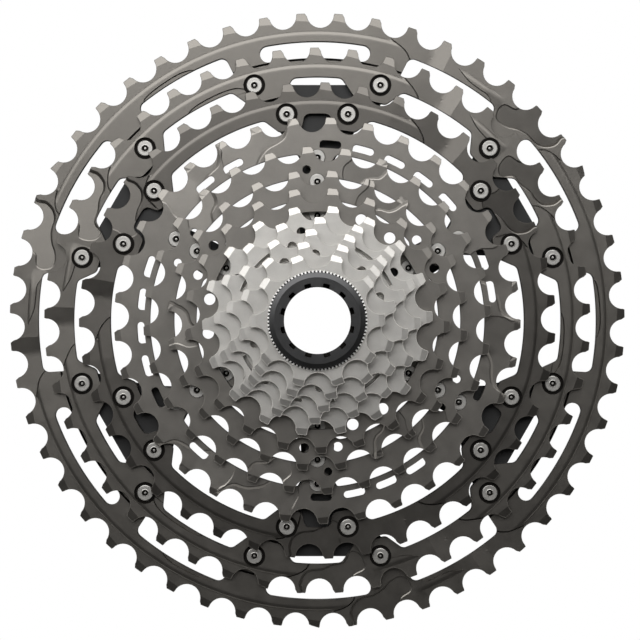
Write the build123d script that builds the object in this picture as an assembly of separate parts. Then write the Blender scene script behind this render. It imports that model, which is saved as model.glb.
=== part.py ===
from build123d import *
import os
from math import cos, pi, radians, sin, sqrt

# Bicycle cassette: twelve sprockets from 51 to 10 teeth on two spiders, loose sprockets
# with spacers, and a lock ring with its serrated washer. All sizes are in millimetres.
# The bore runs along +Z and +Z points from the wheel side (51 teeth) to the frame side
# (10 teeth). The origin is on the bore axis, in the flat back plane.

# --- driving dimensions: chain and stack -------------------------------------------------------
CHAIN_PITCH = 12.7            # one half-inch link
SPROCKET_PITCH = 3.65         # from one sprocket's back face to the next
TOOTH_THICKNESS = 1.6
TEETH = [51, 45, 39, 33, 28, 24, 21, 18, 16, 14, 12, 10]
# Angle of one tooth's centre line, in degrees from +X: the clocking of each sprocket.
CLOCKING = {51: 1.35, 45: 2.6, 39: 5.1, 33: 9.95, 28: 3.45, 24: 9.4,
            21: 14.8, 18: 2.2, 16: 21.3, 14: 17.3, 12: 10.8, 10: 1.0}

# --- tooth form --------------------------------------------------------------------------------
SEAT_RADIUS = 4.6             # the round gap that a chain roller drops into
SEAT_RISE = 0.68              # the gap's centre stands this far outside the pitch circle
SEAT_LEAN = 0.25              # and leans this far back along the pitch circle
SEAT_START_ANGLE = 3.0        # the round gap ends this far below its centre, on each side
SEAT_END_ANGLE = 10.0
TIP_RISE = 1.1                # tooth tip above the pitch circle
TIP_WIDTH = 2.7
TIP_CHAMFER_DEPTH = 2.4       # radial width of the slope on a tooth's front face
TIP_CHAMFER_DROP = 0.75       # how much thinner the tooth is at its tip
SHORT_TOOTH_DROP = 0.8        # every third of a turn the big sprockets have a shorter tooth
SHORT_TOOTH = {51: 4, 45: 2, 39: 1}   # which tooth, counted from the clocking tooth

# --- the three big sprockets: raised rims and windows ------------------------------------------
RIM_RISE = 0.9                # the rim stands this far in front of the toothed zone
RIM_INSET = 1.1               # tooth root circle down to the foot of the rim's slope
RIM_SLOPE = 1.25              # radial width of that slope
RIM_WALL = {51: 4.75, 45: 5.05, 39: 5.7}   # tooth root circle down to the windows
RIM_STOP_INSET = 5.1          # the 51-tooth rim ends this far inside the 45-tooth tip circle
# Arc, from its first to its last angle, where the rim is cut down so that the chain climbs.
SHIFT_GATE = {51: (36.0, 72.5), 45: (26.5, 68.0), 39: (23.5, 62.5)}
GATE_51_REACH = 12.0          # a gate of the 51-tooth sprocket reaches this far inside the rim
GATE_RIVET_ROOM = 0.6         # on the other two it stops this far outside the rivet seats
GATE_CORNER = 3.4
THIRD = 120.0                 # the gates and short teeth repeat at this angle
# Arms of the 51-tooth sprocket: first and last angle at the rim, one third of the turn.
FEET_51 = [(9.8, 19.3), (41.2, 50.2), (70.7, 78.6), (102.4, 109.3)]
FOOT_BOSS_RADIUS = 4.6
TIE_BAR = (75.0, 105.0)       # this gap between two feet is closed by a thin inner bar
TIE_BAR_INSET = 10.4          # tooth root circle down to the bar's outer edge
TIE_BAR_WIDTH = 3.0
# Tongues of the 45 and 39-tooth sprockets, two on each arm, as angles from the arm's centre
# line: near side at the rim, near and far inner corners, far side at the rim.
LOBE_45 = (5.7, 9.4, 17.6, 20.6)
LOBE_39 = (3.6, 4.6, 11.4, 15.0)
LOBE_45_INSET = 5.8           # rivet circle down to the tongue's inner end
LOBE_39_INSET = 5.6
LOBE_ROOT = 1.5               # a tongue starts this far inside the metal of its rim

# --- arms and rivets ---------------------------------------------------------------------------
ARM_COUNT = 6
FIRST_ARM = 30.0              # angle of the first spider arm
OUTER_RIVET_ANGLE = 15.0      # rivets of 51 and 45 teeth, each side of an arm's centre line
OUTER_RIVET_INSET = 8.96      # from the 45-tooth pitch circle
MIDDLE_RIVET_ANGLE = 8.45     # rivets of 39 teeth, each side of an arm's centre line
MIDDLE_RIVET_INSET = 9.02     # from the 39-tooth pitch circle
INNER_RIVET_INSET = {33: 12.4, 28: 10.62, 24: 13.95}   # one rivet on each arm
INNER_RIM_WALL = {33: 7.1, 28: 5.3, 24: 4.8}           # tooth root circle to inner edge
RIVET_SHANK_RADIUS = 1.7
RIVET_FIT = 0.05              # clearance between a rivet and its hole
RIVET_HEAD_RADIUS = 2.65
RIVET_HEAD_HEIGHT = 0.95
RIVET_SOCKET_RADIUS = 1.05
RIVET_SOCKET_DEPTH = 0.6
RIVET_TAIL_RADIUS = 2.5
RIVET_TAIL_HEIGHT = 0.7
COUNTERBORE_RADIUS = 3.7
COUNTERBORE_FLOOR = 1.5       # metal left under a rivet head, from the sprocket's back face
INNER_COUNTERSINK_FLOOR = 0.8 # the same on the thin sprockets
RIVET_HEAD_CHAMFER = 0.25
LOBE_FILLET = 2.0
INNER_LOBE_HALF_WIDTH = 3.6   # tongue of a thin sprocket beside its rivet
INNER_LOBE_ROOT_HALF_WIDTH = 6.6

# --- slots and holes of the titanium sprockets -------------------------------------------------
SLOT_33_INSET = 2.75          # tooth root circle down to the slot's outer edge
SLOT_33_WIDTH = 2.4
SLOT_33_CORNER = 0.96
SLOT_33_ANGLE = 6.95
SLOT_33_PLACES = [0, 1, 3, 4, 5, 6, 7, 10, 11, 14, 15, 16, 17, 18, 20, 24, 25, 26, 27, 30]
SLOT_33_FIRST = 9.4
HOLE_28_RADIUS = 1.35
HOLE_28_INSET = 2.6
HOLE_28_ANGLES = [94.1, 144.5, 157.5, 274.1, 325.0, 337.2]
HOLE_24_RADIUS = 1.6
HOLE_24_INSET = 2.5
HOLE_24_ANGLES = [24.1, 39.0, 144.1, 159.1, 264.1, 279.2]
HOLE_21_RADIUS = 1.9
HOLE_21_INSET = 2.6
HOLE_21_ANGLES = [48.8, 66.5, 168.8, 186.5, 288.8, 306.5]
WEB_WINDOW_ANGLE = 22.0       # opening in the 21-tooth web at each arm
WEB_WINDOW_ROOM = 1.0         # it reaches this far outside the 24-tooth rivet circle
WEB_WALL = 3.0                # metal between the opening and the hub
WINDOW_CORNER = 1.7

# --- bore, hubs and spacers --------------------------------------------------------------------
BORE_RADIUS = 13.9            # slides over the freehub body
SPLINE_COUNT = 23
SPLINE_DEPTH = 0.7
SPLINE_WIDTH = 0.8
HUB_WALL = 5.4
SPACER_WALL = 3.4
SPACER_ROOT_ROOM = 1.0        # a spacer stays this far inside the tooth roots in front of it
COLLAR_WALL = 2.38            # behind the 10-tooth sprocket
BORE_RELIEF = 0.9             # the inner spider is opened out between its two seats
BORE_SEAT_LENGTH = 4.0

# --- spiders -----------------------------------------------------------------------------------
ARM_ROOT_HALF_WIDTH = 7.0
ARM_WAIST_HALF_WIDTH = 5.0
ARM_BOSS_RADIUS = 4.3
ARM_POCKET_WIDTH = 5.0
ARM_POCKET_DEPTH = 3.2
ARM_POCKET_ENDS = 10.0        # the pocket is this much shorter than the arm
ARM_CHORD_GAP = 0.35          # the arm's straight outer edge from the outer rivets' line
HUB_OVERLAP = 2.0             # an arm starts this far inside the hub
WAIST_INSET = 16.0            # middle rivets in to the arm's narrowest place
SHOULDER_INSET = 2.0          # middle rivets in to where the arm is widest
SHOULDER_OUTSET = 3.4         # middle rivets out to the thick arm's end
SHOULDER_ROOM = 1.0
HAND_ROOT_INSET = 9.0         # middle rivets in to where the thin hand starts
HAND_SIDE = 3.2               # the hand's side outside the outer rivets
HAND_EDGE_SHARE = 0.7         # of the boss radius, from the outer rivets in to the hand's corner
INNER_ARM_ROOT_HALF_WIDTH = 6.0
INNER_BOSS_RADIUS = 3.6
TAIL_POCKET_SHARE = 0.75      # of a gap between sprockets, taken by a rivet's tail pocket

# --- lock ring and washer ----------------------------------------------------------------------
FREEHUB_THREAD_WALL = 0.9     # bore down to the thread in the freehub body
THREAD_PITCH = 1.0
THREAD_DEPTH = 0.35
THREAD_LENGTH = 6.0
THREAD_CREST_SHARE = 0.3      # flat crest, as a share of the pitch
SLEEVE_PLAIN = 2.0            # unthreaded part of the sleeve, next to the flange
RING_FLANGE_REACH = 2.7       # from the thread out to the flange's edge
RING_FLANGE_HEIGHT = 2.0
RING_BEVEL = 1.5
RING_BEVEL_DROP = 0.8
NOTCH_COUNT = 12
FIRST_NOTCH = 15.5
NOTCH_DEPTH = 1.3
NOTCH_ANGLE = 10.7
NOTCH_LENGTH = 8.0            # the notches end this far below the ring's front face
SLEEVE_WALL = 2.2             # from the thread in to the ring's hole
WASHER_REACH = 0.6            # the washer stands this far out from the flange
WASHER_HEIGHT = 0.9
WASHER_FIT = 0.1
SERRATION_COUNT = 84
SERRATION_DEPTH = 0.35
SLEEVE_FIT = 0.35             # the ring's thread inside the smallest sprocket

# --- places that follow from the sizes above ---------------------------------------------------
GAP = SPROCKET_PITCH - TOOTH_THICKNESS
OPEN = 500.0                  # larger than the whole object, for cutters
CORNER_SHARE = 0.48           # the largest corner of a slot, as a share of its width
PAST = 1.0                    # a cutter runs this far past the face that it opens
ARM_ANGLES = [FIRST_ARM + 360 / ARM_COUNT * i for i in range(ARM_COUNT)]
HUB_RADIUS = BORE_RADIUS + HUB_WALL
THREAD_RADIUS = BORE_RADIUS - FREEHUB_THREAD_WALL
RING_HOLE_RADIUS = THREAD_RADIUS - SLEEVE_WALL
NOTCH_RADIUS = RING_HOLE_RADIUS + NOTCH_DEPTH
RING_FLANGE_RADIUS = THREAD_RADIUS + RING_FLANGE_REACH
WASHER_RADIUS = RING_FLANGE_RADIUS + WASHER_REACH


def pitch_radius(teeth):
    return CHAIN_PITCH / (2 * sin(pi / teeth))


def root_radius(teeth):
    return pitch_radius(teeth) + SEAT_RISE - SEAT_RADIUS


def tip_radius(teeth):
    return pitch_radius(teeth) + TIP_RISE


def back(teeth):
    """Height of a sprocket's back face."""
    return SPROCKET_PITCH * TEETH.index(teeth)


def front(teeth):
    return back(teeth) + TOOTH_THICKNESS


OUTER_RIVET_RADIUS = pitch_radius(45) - OUTER_RIVET_INSET
MIDDLE_RIVET_RADIUS = pitch_radius(39) - MIDDLE_RIVET_INSET


def at(angle, radial, tangential=0.0):
    """A point given along and across the ray at an angle."""
    a = radians(angle)
    return (radial * cos(a) - tangential * sin(a), radial * sin(a) + tangential * cos(a))


def upward(face):
    """The same flat face with its front towards +Z, so that faces join and rise alike."""
    return Sketch() + (face if face.normal_at().Z > 0 else -face)


def polygon(*points):
    return upward(Face(Wire.make_polygon([(x, y, 0) for x, y in points], close=True)))


def ring_face(outer, inner):
    return Circle(outer) - Circle(inner)


def raised(plan, low, high):
    """A flat outline made solid between two heights."""
    return Pos(0, 0, low) * extrude(plan, high - low)


def disc(radius, low, high):
    return raised(Circle(radius), low, high)


def tube(outer, inner, low, high):
    return raised(ring_face(outer, inner), low, high)


def sector(inner, outer, first, last):
    """A flat piece of ring between two angles."""
    middle = (first + last) / 2
    outer_arc = ThreePointArc(at(first, outer), at(middle, outer), at(last, outer))
    inner_arc = ThreePointArc(at(last, inner), at(middle, inner), at(first, inner))
    side_a = Line(at(last, outer), at(last, inner))
    side_b = Line(at(first, inner), at(first, outer))
    return upward(Face(Wire([outer_arc, side_a, inner_arc, side_b])))


def slot(inner, outer, first, last, corner):
    """A ring sector with rounded corners, which a narrow sector limits."""
    shape = sector(inner, outer, first, last)
    return fillet(shape.vertices(), min(corner, (outer - inner) * CORNER_SHARE))


def lobe(points, corner):
    """A tongue that hangs from a rim: rim point, two inner points, rim point."""
    shape = polygon(*points)
    inner = shape.vertices().sort_by(lambda v: Vector(v.X, v.Y, 0).length)[0:2]
    return fillet(inner, corner)


def revolved(points):
    """A ring whose cross-section is given as (radius, height) points."""
    outline = Wire.make_polygon([(r, 0, z) for r, z in points], close=True)
    return revolve(Face(outline), Axis.Z, 360)


def pegs(places, radius, low, high):
    """Cylinders at (angle, radius) places."""
    shapes = []
    for angle, distance in places:
        x, y = at(angle, distance)
        shapes.append(Pos(x, y, low) * extrude(Circle(radius), high - low))
    return shapes


def outer_rivet_places():
    sides = (-OUTER_RIVET_ANGLE, OUTER_RIVET_ANGLE)
    return [(arm + side, OUTER_RIVET_RADIUS) for arm in ARM_ANGLES for side in sides]


def middle_rivet_places():
    sides = (-MIDDLE_RIVET_ANGLE, MIDDLE_RIVET_ANGLE)
    return [(arm + side, MIDDLE_RIVET_RADIUS) for arm in ARM_ANGLES for side in sides]


def inner_rivet_places(teeth):
    distance = pitch_radius(teeth) - INNER_RIVET_INSET[teeth]
    return [(arm, distance) for arm in ARM_ANGLES]


# --- toothed outlines --------------------------------------------------------------------------
def tip_corners(teeth, number):
    """The two top corners of one tooth; a short tooth slopes down on its leading side."""
    angle = CLOCKING[teeth] + 360 / teeth * number
    top = tip_radius(teeth)
    lead_top = top
    if teeth in SHORT_TOOTH and (number - SHORT_TOOTH[teeth]) % (teeth // 3) == 0:
        lead_top = top - SHORT_TOOTH_DROP
    return at(angle, lead_top, -TIP_WIDTH / 2), at(angle, top, TIP_WIDTH / 2)


def seat_points(teeth, number):
    """Start, bottom and end of the round gap after one tooth."""
    angle = CLOCKING[teeth] + 360 / teeth * (number + 0.5)
    centre = pitch_radius(teeth) + SEAT_RISE
    start_rise = SEAT_RADIUS * sin(radians(SEAT_START_ANGLE))
    start_side = SEAT_RADIUS * cos(radians(SEAT_START_ANGLE))
    end_rise = SEAT_RADIUS * sin(radians(SEAT_END_ANGLE))
    end_side = SEAT_RADIUS * cos(radians(SEAT_END_ANGLE))
    start = at(angle, centre - start_rise, -SEAT_LEAN - start_side)
    bottom = at(angle, centre - SEAT_RADIUS, -SEAT_LEAN)
    end = at(angle, centre - end_rise, -SEAT_LEAN + end_side)
    return start, bottom, end


def toothed_face(teeth):
    edges = []
    for number in range(teeth):
        low_corner, high_corner = tip_corners(teeth, number)
        start, bottom, end = seat_points(teeth, number)
        next_corner, _ = tip_corners(teeth, (number + 1) % teeth)
        edges.append(Line(low_corner, high_corner))
        edges.append(Line(high_corner, start))
        edges.append(ThreePointArc(start, bottom, end))
        edges.append(Line(end, next_corner))
    return upward(Face(Wire(edges)))


def tip_chamfer(teeth, base):
    """Ring that slopes the front of every tooth tip."""
    foot = tip_radius(teeth) - TIP_CHAMFER_DEPTH
    outside = tip_radius(teeth) + PAST
    top = base + TOOTH_THICKNESS
    drop = TIP_CHAMFER_DROP / TIP_CHAMFER_DEPTH * (outside - foot)
    return revolved([(foot, top), (foot, top + PAST), (outside, top + PAST), (outside, top - drop)])


# --- the three big sprockets -------------------------------------------------------------------
def rim_inner(teeth):
    return root_radius(teeth) - RIM_WALL[teeth]


def nearest_outer_rivet(angle):
    """Angle of the outer rivet nearest to an angle."""
    angles = [place for place, _ in outer_rivet_places()]
    return min(angles, key=lambda place: abs((place - angle + 180) % 360 - 180))


def feet_of_51(rim):
    """The tongues that reach in from the 51-tooth rim to the outer rivets."""
    shapes = Sketch()
    root = rim + LOBE_ROOT
    for turn in range(3):
        for first, last in FEET_51:
            centre = nearest_outer_rivet((first + last) / 2) + THIRD * turn
            x, y = at(centre, OUTER_RIVET_RADIUS)
            shapes += polygon(at(first + THIRD * turn, root),
                              at(centre, OUTER_RIVET_RADIUS, -FOOT_BOSS_RADIUS),
                              at(centre, OUTER_RIVET_RADIUS, FOOT_BOSS_RADIUS),
                              at(last + THIRD * turn, root))
            shapes += Pos(x, y) * Circle(FOOT_BOSS_RADIUS)
    return shapes


def tie_bars_of_51():
    shapes = Sketch()
    outer = root_radius(51) - TIE_BAR_INSET
    first, last = TIE_BAR
    for turn in range(3):
        shapes += sector(outer - TIE_BAR_WIDTH, outer, first + THIRD * turn, last + THIRD * turn)
    return shapes


def paired_lobes(rim, inner, angles):
    """Two tongues on each arm, as mirror images."""
    shapes = Sketch()
    near, inner_near, inner_far, far = angles
    root = rim + LOBE_ROOT
    for arm in ARM_ANGLES:
        for side in (-1, 1):
            points = [at(arm + side * near, root), at(arm + side * inner_near, inner),
                      at(arm + side * inner_far, inner), at(arm + side * far, root)]
            shapes += lobe(points, LOBE_FILLET)
    return shapes


def rim_step(teeth, base):
    """Ring that lowers the toothed zone below the raised rim, with a slope between them."""
    foot = root_radius(teeth) - RIM_INSET
    low = base + TOOTH_THICKNESS
    high = low + RIM_RISE
    slope = RIM_RISE / RIM_SLOPE
    outside = tip_radius(teeth) + PAST
    points = [(foot, low), (outside, low), (outside, high + PAST),
              (foot - RIM_SLOPE - PAST / slope, high + PAST)]
    return revolved(points)


def shift_gates(teeth, base, inner):
    """Blocks that cut the raised rim away where the chain climbs to the next sprocket."""
    first, last = SHIFT_GATE[teeth]
    outer = tip_radius(teeth) + GATE_CORNER + PAST
    low = base + TOOTH_THICKNESS
    shapes = []
    for turn in range(3):
        plan = slot(inner, outer, first + THIRD * turn, last + THIRD * turn, GATE_CORNER)
        shapes.append(raised(plan, low, low + RIM_RISE + PAST))
    return shapes


def counterbores(places, base, floor, radius):
    return pegs(places, radius, base + floor, base + OPEN)


def rivet_holes(places, low, high):
    return pegs(places, RIVET_SHANK_RADIUS + RIVET_FIT, low, high)


def sprocket_51():
    base = back(51)
    rim = rim_inner(51)
    ring = toothed_face(51) - Circle(rim)
    plan = ring + feet_of_51(rim) + tie_bars_of_51()
    body = raised(plan, base, base + TOOTH_THICKNESS + RIM_RISE)
    body -= rim_step(51, base)
    body -= tip_chamfer(51, base)
    body -= shift_gates(51, base, rim - GATE_51_REACH)
    body -= disc(tip_radius(45) - RIM_STOP_INSET, front(51), front(51) + OPEN)
    places = outer_rivet_places()
    body -= pegs(places, RIVET_TAIL_RADIUS + RIVET_FIT, base - PAST, base + RIVET_TAIL_HEIGHT)
    body -= rivet_holes(places, base, front(51))
    return body


def rimmed_sprocket(teeth, places, lobe_inset, lobe_angles):
    """The 45 or 39-tooth sprocket: a raised rim, gates and sunk seats for its rivets."""
    base = back(teeth)
    rim = rim_inner(teeth)
    rivet_radius = places[0][1]
    ring = toothed_face(teeth) - Circle(rim)
    plan = ring + paired_lobes(rim, rivet_radius - lobe_inset, lobe_angles)
    body = raised(plan, base, base + TOOTH_THICKNESS + RIM_RISE)
    body -= rim_step(teeth, base)
    body -= tip_chamfer(teeth, base)
    body -= shift_gates(teeth, base, rivet_radius + COUNTERBORE_RADIUS + GATE_RIVET_ROOM)
    body -= counterbores(places, base, COUNTERBORE_FLOOR, COUNTERBORE_RADIUS)
    body -= rivet_holes(places, base - PAST, base + OPEN)
    return body


# --- the titanium sprockets on the inner spider ------------------------------------------------
def arm_lobes(teeth, rim):
    """One tongue on each arm that carries the rivet of a thin sprocket."""
    shapes = Sketch()
    distance = pitch_radius(teeth) - INNER_RIVET_INSET[teeth]
    side = INNER_LOBE_HALF_WIDTH
    root_side = INNER_LOBE_ROOT_HALF_WIDTH
    inner = distance - INNER_LOBE_HALF_WIDTH
    root = rim + LOBE_ROOT
    for arm in ARM_ANGLES:
        points = [at(arm, root, -root_side), at(arm, inner, -side),
                  at(arm, inner, side), at(arm, root, root_side)]
        shapes += lobe(points, LOBE_FILLET)
    return shapes


def thin_sprocket(teeth):
    base = back(teeth)
    rim = root_radius(teeth) - INNER_RIM_WALL[teeth]
    plan = toothed_face(teeth) - Circle(rim) + arm_lobes(teeth, rim)
    body = raised(plan, base, base + TOOTH_THICKNESS)
    body -= tip_chamfer(teeth, base)
    places = inner_rivet_places(teeth)
    body -= counterbores(places, base, INNER_COUNTERSINK_FLOOR, RIVET_HEAD_RADIUS + RIVET_FIT)
    body -= rivet_holes(places, base - PAST, base + OPEN)
    return body


def sprocket_33():
    outer = root_radius(33) - SLOT_33_INSET
    inner = outer - SLOT_33_WIDTH
    cutters = []
    for place in SLOT_33_PLACES:
        first = SLOT_33_FIRST + 360 / 33 * place - SLOT_33_ANGLE / 2
        plan = slot(inner, outer, first, first + SLOT_33_ANGLE, SLOT_33_CORNER)
        cutters.append(raised(plan, back(33) - PAST, front(33) + PAST))
    return thin_sprocket(33) - cutters


def sprocket_28():
    distance = root_radius(28) - HOLE_28_INSET
    places = [(angle, distance) for angle in HOLE_28_ANGLES]
    return thin_sprocket(28) - pegs(places, HOLE_28_RADIUS, back(28) - PAST, front(28) + PAST)


def sprocket_24():
    distance = root_radius(24) - HOLE_24_INSET
    places = [(angle, distance) for angle in HOLE_24_ANGLES]
    return thin_sprocket(24) - pegs(places, HOLE_24_RADIUS, back(24) - PAST, front(24) + PAST)


# --- sprockets that slide on the freehub body by themselves ------------------------------------
def splined_bore(low, high):
    """Cutter for the bore and its spline grooves."""
    plan = Sketch() + Circle(BORE_RADIUS)
    for number in range(SPLINE_COUNT):
        groove = Pos(BORE_RADIUS, 0) * Rectangle(SPLINE_DEPTH * 2, SPLINE_WIDTH)
        plan += Rot(0, 0, 360 / SPLINE_COUNT * number) * groove
    return raised(plan, low, high)


def loose_sprocket(teeth):
    base = back(teeth)
    body = raised(toothed_face(teeth), base, base + TOOTH_THICKNESS)
    body -= tip_chamfer(teeth, base)
    return body - splined_bore(base - PAST, base + TOOTH_THICKNESS + PAST)


def sprocket_21():
    """Its web is cut back at each arm, where it passes the rivets of the 24-tooth sprocket."""
    body = loose_sprocket(21)
    distance = root_radius(21) - HOLE_21_INSET
    places = [(angle, distance) for angle in HOLE_21_ANGLES]
    body -= pegs(places, HOLE_21_RADIUS, back(21) - PAST, front(21) + PAST)
    outer = pitch_radius(24) - INNER_RIVET_INSET[24] + WEB_WINDOW_ROOM
    half = WEB_WINDOW_ANGLE / 2
    windows = []
    for arm in ARM_ANGLES:
        plan = slot(HUB_RADIUS + WEB_WALL, outer, arm - half, arm + half, WINDOW_CORNER)
        windows.append(raised(plan, back(21) - PAST, front(21) + PAST))
    return body - windows


def sprocket_10():
    """The smallest sprocket hangs over the end of the freehub body and has its own collar."""
    base = back(10)
    sleeve = THREAD_RADIUS + SLEEVE_FIT
    body = raised(toothed_face(10), base, base + TOOTH_THICKNESS)
    body -= tip_chamfer(10, base)
    body += tube(BORE_RADIUS + COLLAR_WALL, sleeve, front(12), base)
    return body - disc(sleeve, base - OPEN, base + OPEN)


def spacer(lower_teeth, upper_teeth):
    low = front(lower_teeth)
    high = back(upper_teeth)
    outer = min(BORE_RADIUS + SPACER_WALL, root_radius(upper_teeth) - SPACER_ROOT_ROOM)
    return disc(outer, low, high) - splined_bore(low - PAST, high + PAST)


# --- spiders -----------------------------------------------------------------------------------
def arm_plan(points, arm):
    """A closed outline given along and across one arm."""
    return polygon(*[at(arm, along, across) for along, across in points])


def mirrored(points):
    """Adds the mirror image of points across the arm's centre line."""
    return points + [(along, -across) for along, across in reversed(points)]


def outer_spider():
    """Six arms: a thick inner part up to the 39-tooth sprocket and a thin hand beyond it."""
    low = front(51)
    middle = back(45)
    high = back(39)
    outer_along = OUTER_RIVET_RADIUS * cos(radians(OUTER_RIVET_ANGLE))
    outer_across = OUTER_RIVET_RADIUS * sin(radians(OUTER_RIVET_ANGLE))
    inner_along = MIDDLE_RIVET_RADIUS * cos(radians(MIDDLE_RIVET_ANGLE))
    inner_across = MIDDLE_RIVET_RADIUS * sin(radians(MIDDLE_RIVET_ANGLE))
    shoulder = inner_across + ARM_BOSS_RADIUS - SHOULDER_ROOM
    spine = mirrored([(HUB_RADIUS - HUB_OVERLAP, ARM_ROOT_HALF_WIDTH),
                      (inner_along - WAIST_INSET, ARM_WAIST_HALF_WIDTH),
                      (inner_along - SHOULDER_INSET, shoulder),
                      (inner_along + SHOULDER_OUTSET, inner_across + SHOULDER_ROOM)])
    hand_corner = outer_along - ARM_BOSS_RADIUS * HAND_EDGE_SHARE
    hand = mirrored([(inner_along - HAND_ROOT_INSET, inner_across - SHOULDER_ROOM),
                     (hand_corner, outer_across + HAND_SIDE),
                     (outer_along + ARM_CHORD_GAP, outer_across)])
    body = disc(HUB_RADIUS, 0, front(39))
    for arm in ARM_ANGLES:
        body += raised(arm_plan(spine, arm), low, high)
        body += raised(arm_plan(hand, arm), low, middle)
    body += pegs(outer_rivet_places(), ARM_BOSS_RADIUS, low, middle)
    body += pegs(middle_rivet_places(), ARM_BOSS_RADIUS, low, high)
    body -= rivet_holes(outer_rivet_places(), low - PAST, middle + PAST)
    body -= rivet_holes(middle_rivet_places(), low - PAST, high + PAST)
    tail = RIVET_TAIL_RADIUS + RIVET_FIT
    body -= pegs(middle_rivet_places(), tail, low - PAST, low + RIVET_TAIL_HEIGHT)
    for arm in ARM_ANGLES:
        x, y = at(arm, (HUB_RADIUS + inner_along) / 2)
        length = inner_along - HUB_RADIUS - ARM_POCKET_ENDS
        pocket = Rot(0, 0, arm) * SlotOverall(length, ARM_POCKET_WIDTH)
        body -= Pos(x, y, low - PAST) * extrude(pocket, ARM_POCKET_DEPTH + PAST)
    return body - splined_bore(-PAST, front(39) + PAST)


def inner_spider():
    """A stepped carrier: each step is the seat of one thin sprocket."""
    low = front(39)
    high = back(21)
    steps = ((33, low), (28, back(33)), (24, back(28)))
    body = disc(HUB_RADIUS, low, high)
    for teeth, previous in steps:
        reach = pitch_radius(teeth) - INNER_RIVET_INSET[teeth]
        step = mirrored([(HUB_RADIUS - HUB_OVERLAP, INNER_ARM_ROOT_HALF_WIDTH),
                         (reach, INNER_BOSS_RADIUS)])
        for arm in ARM_ANGLES:
            body += raised(arm_plan(step, arm), previous, back(teeth))
        body += pegs(inner_rivet_places(teeth), INNER_BOSS_RADIUS, previous, back(teeth))
    for teeth, _ in steps:
        places = inner_rivet_places(teeth)
        body -= rivet_holes(places, low - PAST, back(teeth) + PAST)
        body -= pegs(places, RIVET_TAIL_RADIUS + RIVET_FIT, low - PAST, tail_height(teeth))
    body -= splined_bore(low - PAST, high + PAST)
    return body - disc(BORE_RADIUS + BORE_RELIEF, low + BORE_SEAT_LENGTH, high - BORE_SEAT_LENGTH)


def tail_height(teeth):
    """Top of the wide pocket behind an inner spider rivet, where its tail is closed."""
    return back(teeth) - GAP * TAIL_POCKET_SHARE


# --- rivets ------------------------------------------------------------------------------------
def rivet_group(places, tail_low, tail_high, seat):
    """Rivets with a round head and a small socket in front, and a closed tail behind."""
    group = []
    for angle, distance in places:
        x, y = at(angle, distance)
        rivet = disc(RIVET_TAIL_RADIUS, tail_low, tail_high)
        rivet += disc(RIVET_SHANK_RADIUS, tail_low, seat)
        head = disc(RIVET_HEAD_RADIUS, seat, seat + RIVET_HEAD_HEIGHT)
        rivet += chamfer(head.edges().group_by(Axis.Z)[-1], RIVET_HEAD_CHAMFER)
        rivet -= disc(RIVET_SOCKET_RADIUS, seat + RIVET_HEAD_HEIGHT - RIVET_SOCKET_DEPTH, seat + OPEN)
        group.append(Pos(x, y, 0) * rivet)
    return Compound(children=group)


def outer_rivets():
    return rivet_group(outer_rivet_places(), 0, RIVET_TAIL_HEIGHT, back(45) + COUNTERBORE_FLOOR)


def middle_rivets():
    low = front(51)
    return rivet_group(middle_rivet_places(), low, low + RIVET_TAIL_HEIGHT, back(39) + COUNTERBORE_FLOOR)


def inner_rivets(teeth):
    top = tail_height(teeth)
    seat = back(teeth) + INNER_COUNTERSINK_FLOOR
    return rivet_group(inner_rivet_places(teeth), top - RIVET_TAIL_HEIGHT, top, seat)


# --- lock ring and washer ----------------------------------------------------------------------
def thread_profile(low):
    """Zigzag of (radius, height) points up the lock ring's sleeve."""
    half_crest = THREAD_PITCH * THREAD_CREST_SHARE / 2
    points = []
    for turn in range(int(THREAD_LENGTH / THREAD_PITCH)):
        start = low + THREAD_PITCH * turn
        points.append((THREAD_RADIUS, start + half_crest))
        points.append((THREAD_RADIUS - THREAD_DEPTH, start + THREAD_PITCH / 2))
        points.append((THREAD_RADIUS, start + THREAD_PITCH - half_crest))
    return points


def lock_ring():
    low = front(10) + WASHER_HEIGHT
    top = low + RING_FLANGE_HEIGHT
    sleeve_low = front(10) - THREAD_LENGTH - SLEEVE_PLAIN
    body = revolved([(RING_HOLE_RADIUS, top), (RING_HOLE_RADIUS, sleeve_low),
                     (THREAD_RADIUS - THREAD_DEPTH, sleeve_low),
                     *thread_profile(sleeve_low),
                     (THREAD_RADIUS, low), (RING_FLANGE_RADIUS, low),
                     (RING_FLANGE_RADIUS, top - RING_BEVEL_DROP), (RING_FLANGE_RADIUS - RING_BEVEL, top)])
    notches = []
    for number in range(NOTCH_COUNT):
        first = FIRST_NOTCH + 360 / NOTCH_COUNT * number - NOTCH_ANGLE / 2
        plan = sector(RING_HOLE_RADIUS - PAST, NOTCH_RADIUS, first, first + NOTCH_ANGLE)
        notches.append(raised(plan, top - NOTCH_LENGTH, top + PAST))
    return body - notches


def lock_washer():
    """Flat ring with a serrated edge that stays on the lock ring's sleeve."""
    low = front(10)
    side = SERRATION_DEPTH * sqrt(2)
    notch = Pos(WASHER_RADIUS, 0) * Rot(0, 0, 45) * Rectangle(side, side)
    plan = Sketch() + ring_face(WASHER_RADIUS, THREAD_RADIUS + WASHER_FIT)
    for number in range(SERRATION_COUNT):
        plan -= Rot(0, 0, 360 / SERRATION_COUNT * number) * notch
    return raised(plan, low, low + WASHER_HEIGHT)


def write(shape, name):
    if len(shape.solids()) == 1:
        shape = shape.solids()[0]
    export_step(shape, "parts/" + name + ".step")
    print(name, "solids", len(shape.solids()), "volume", round(shape.volume, 1))


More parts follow.
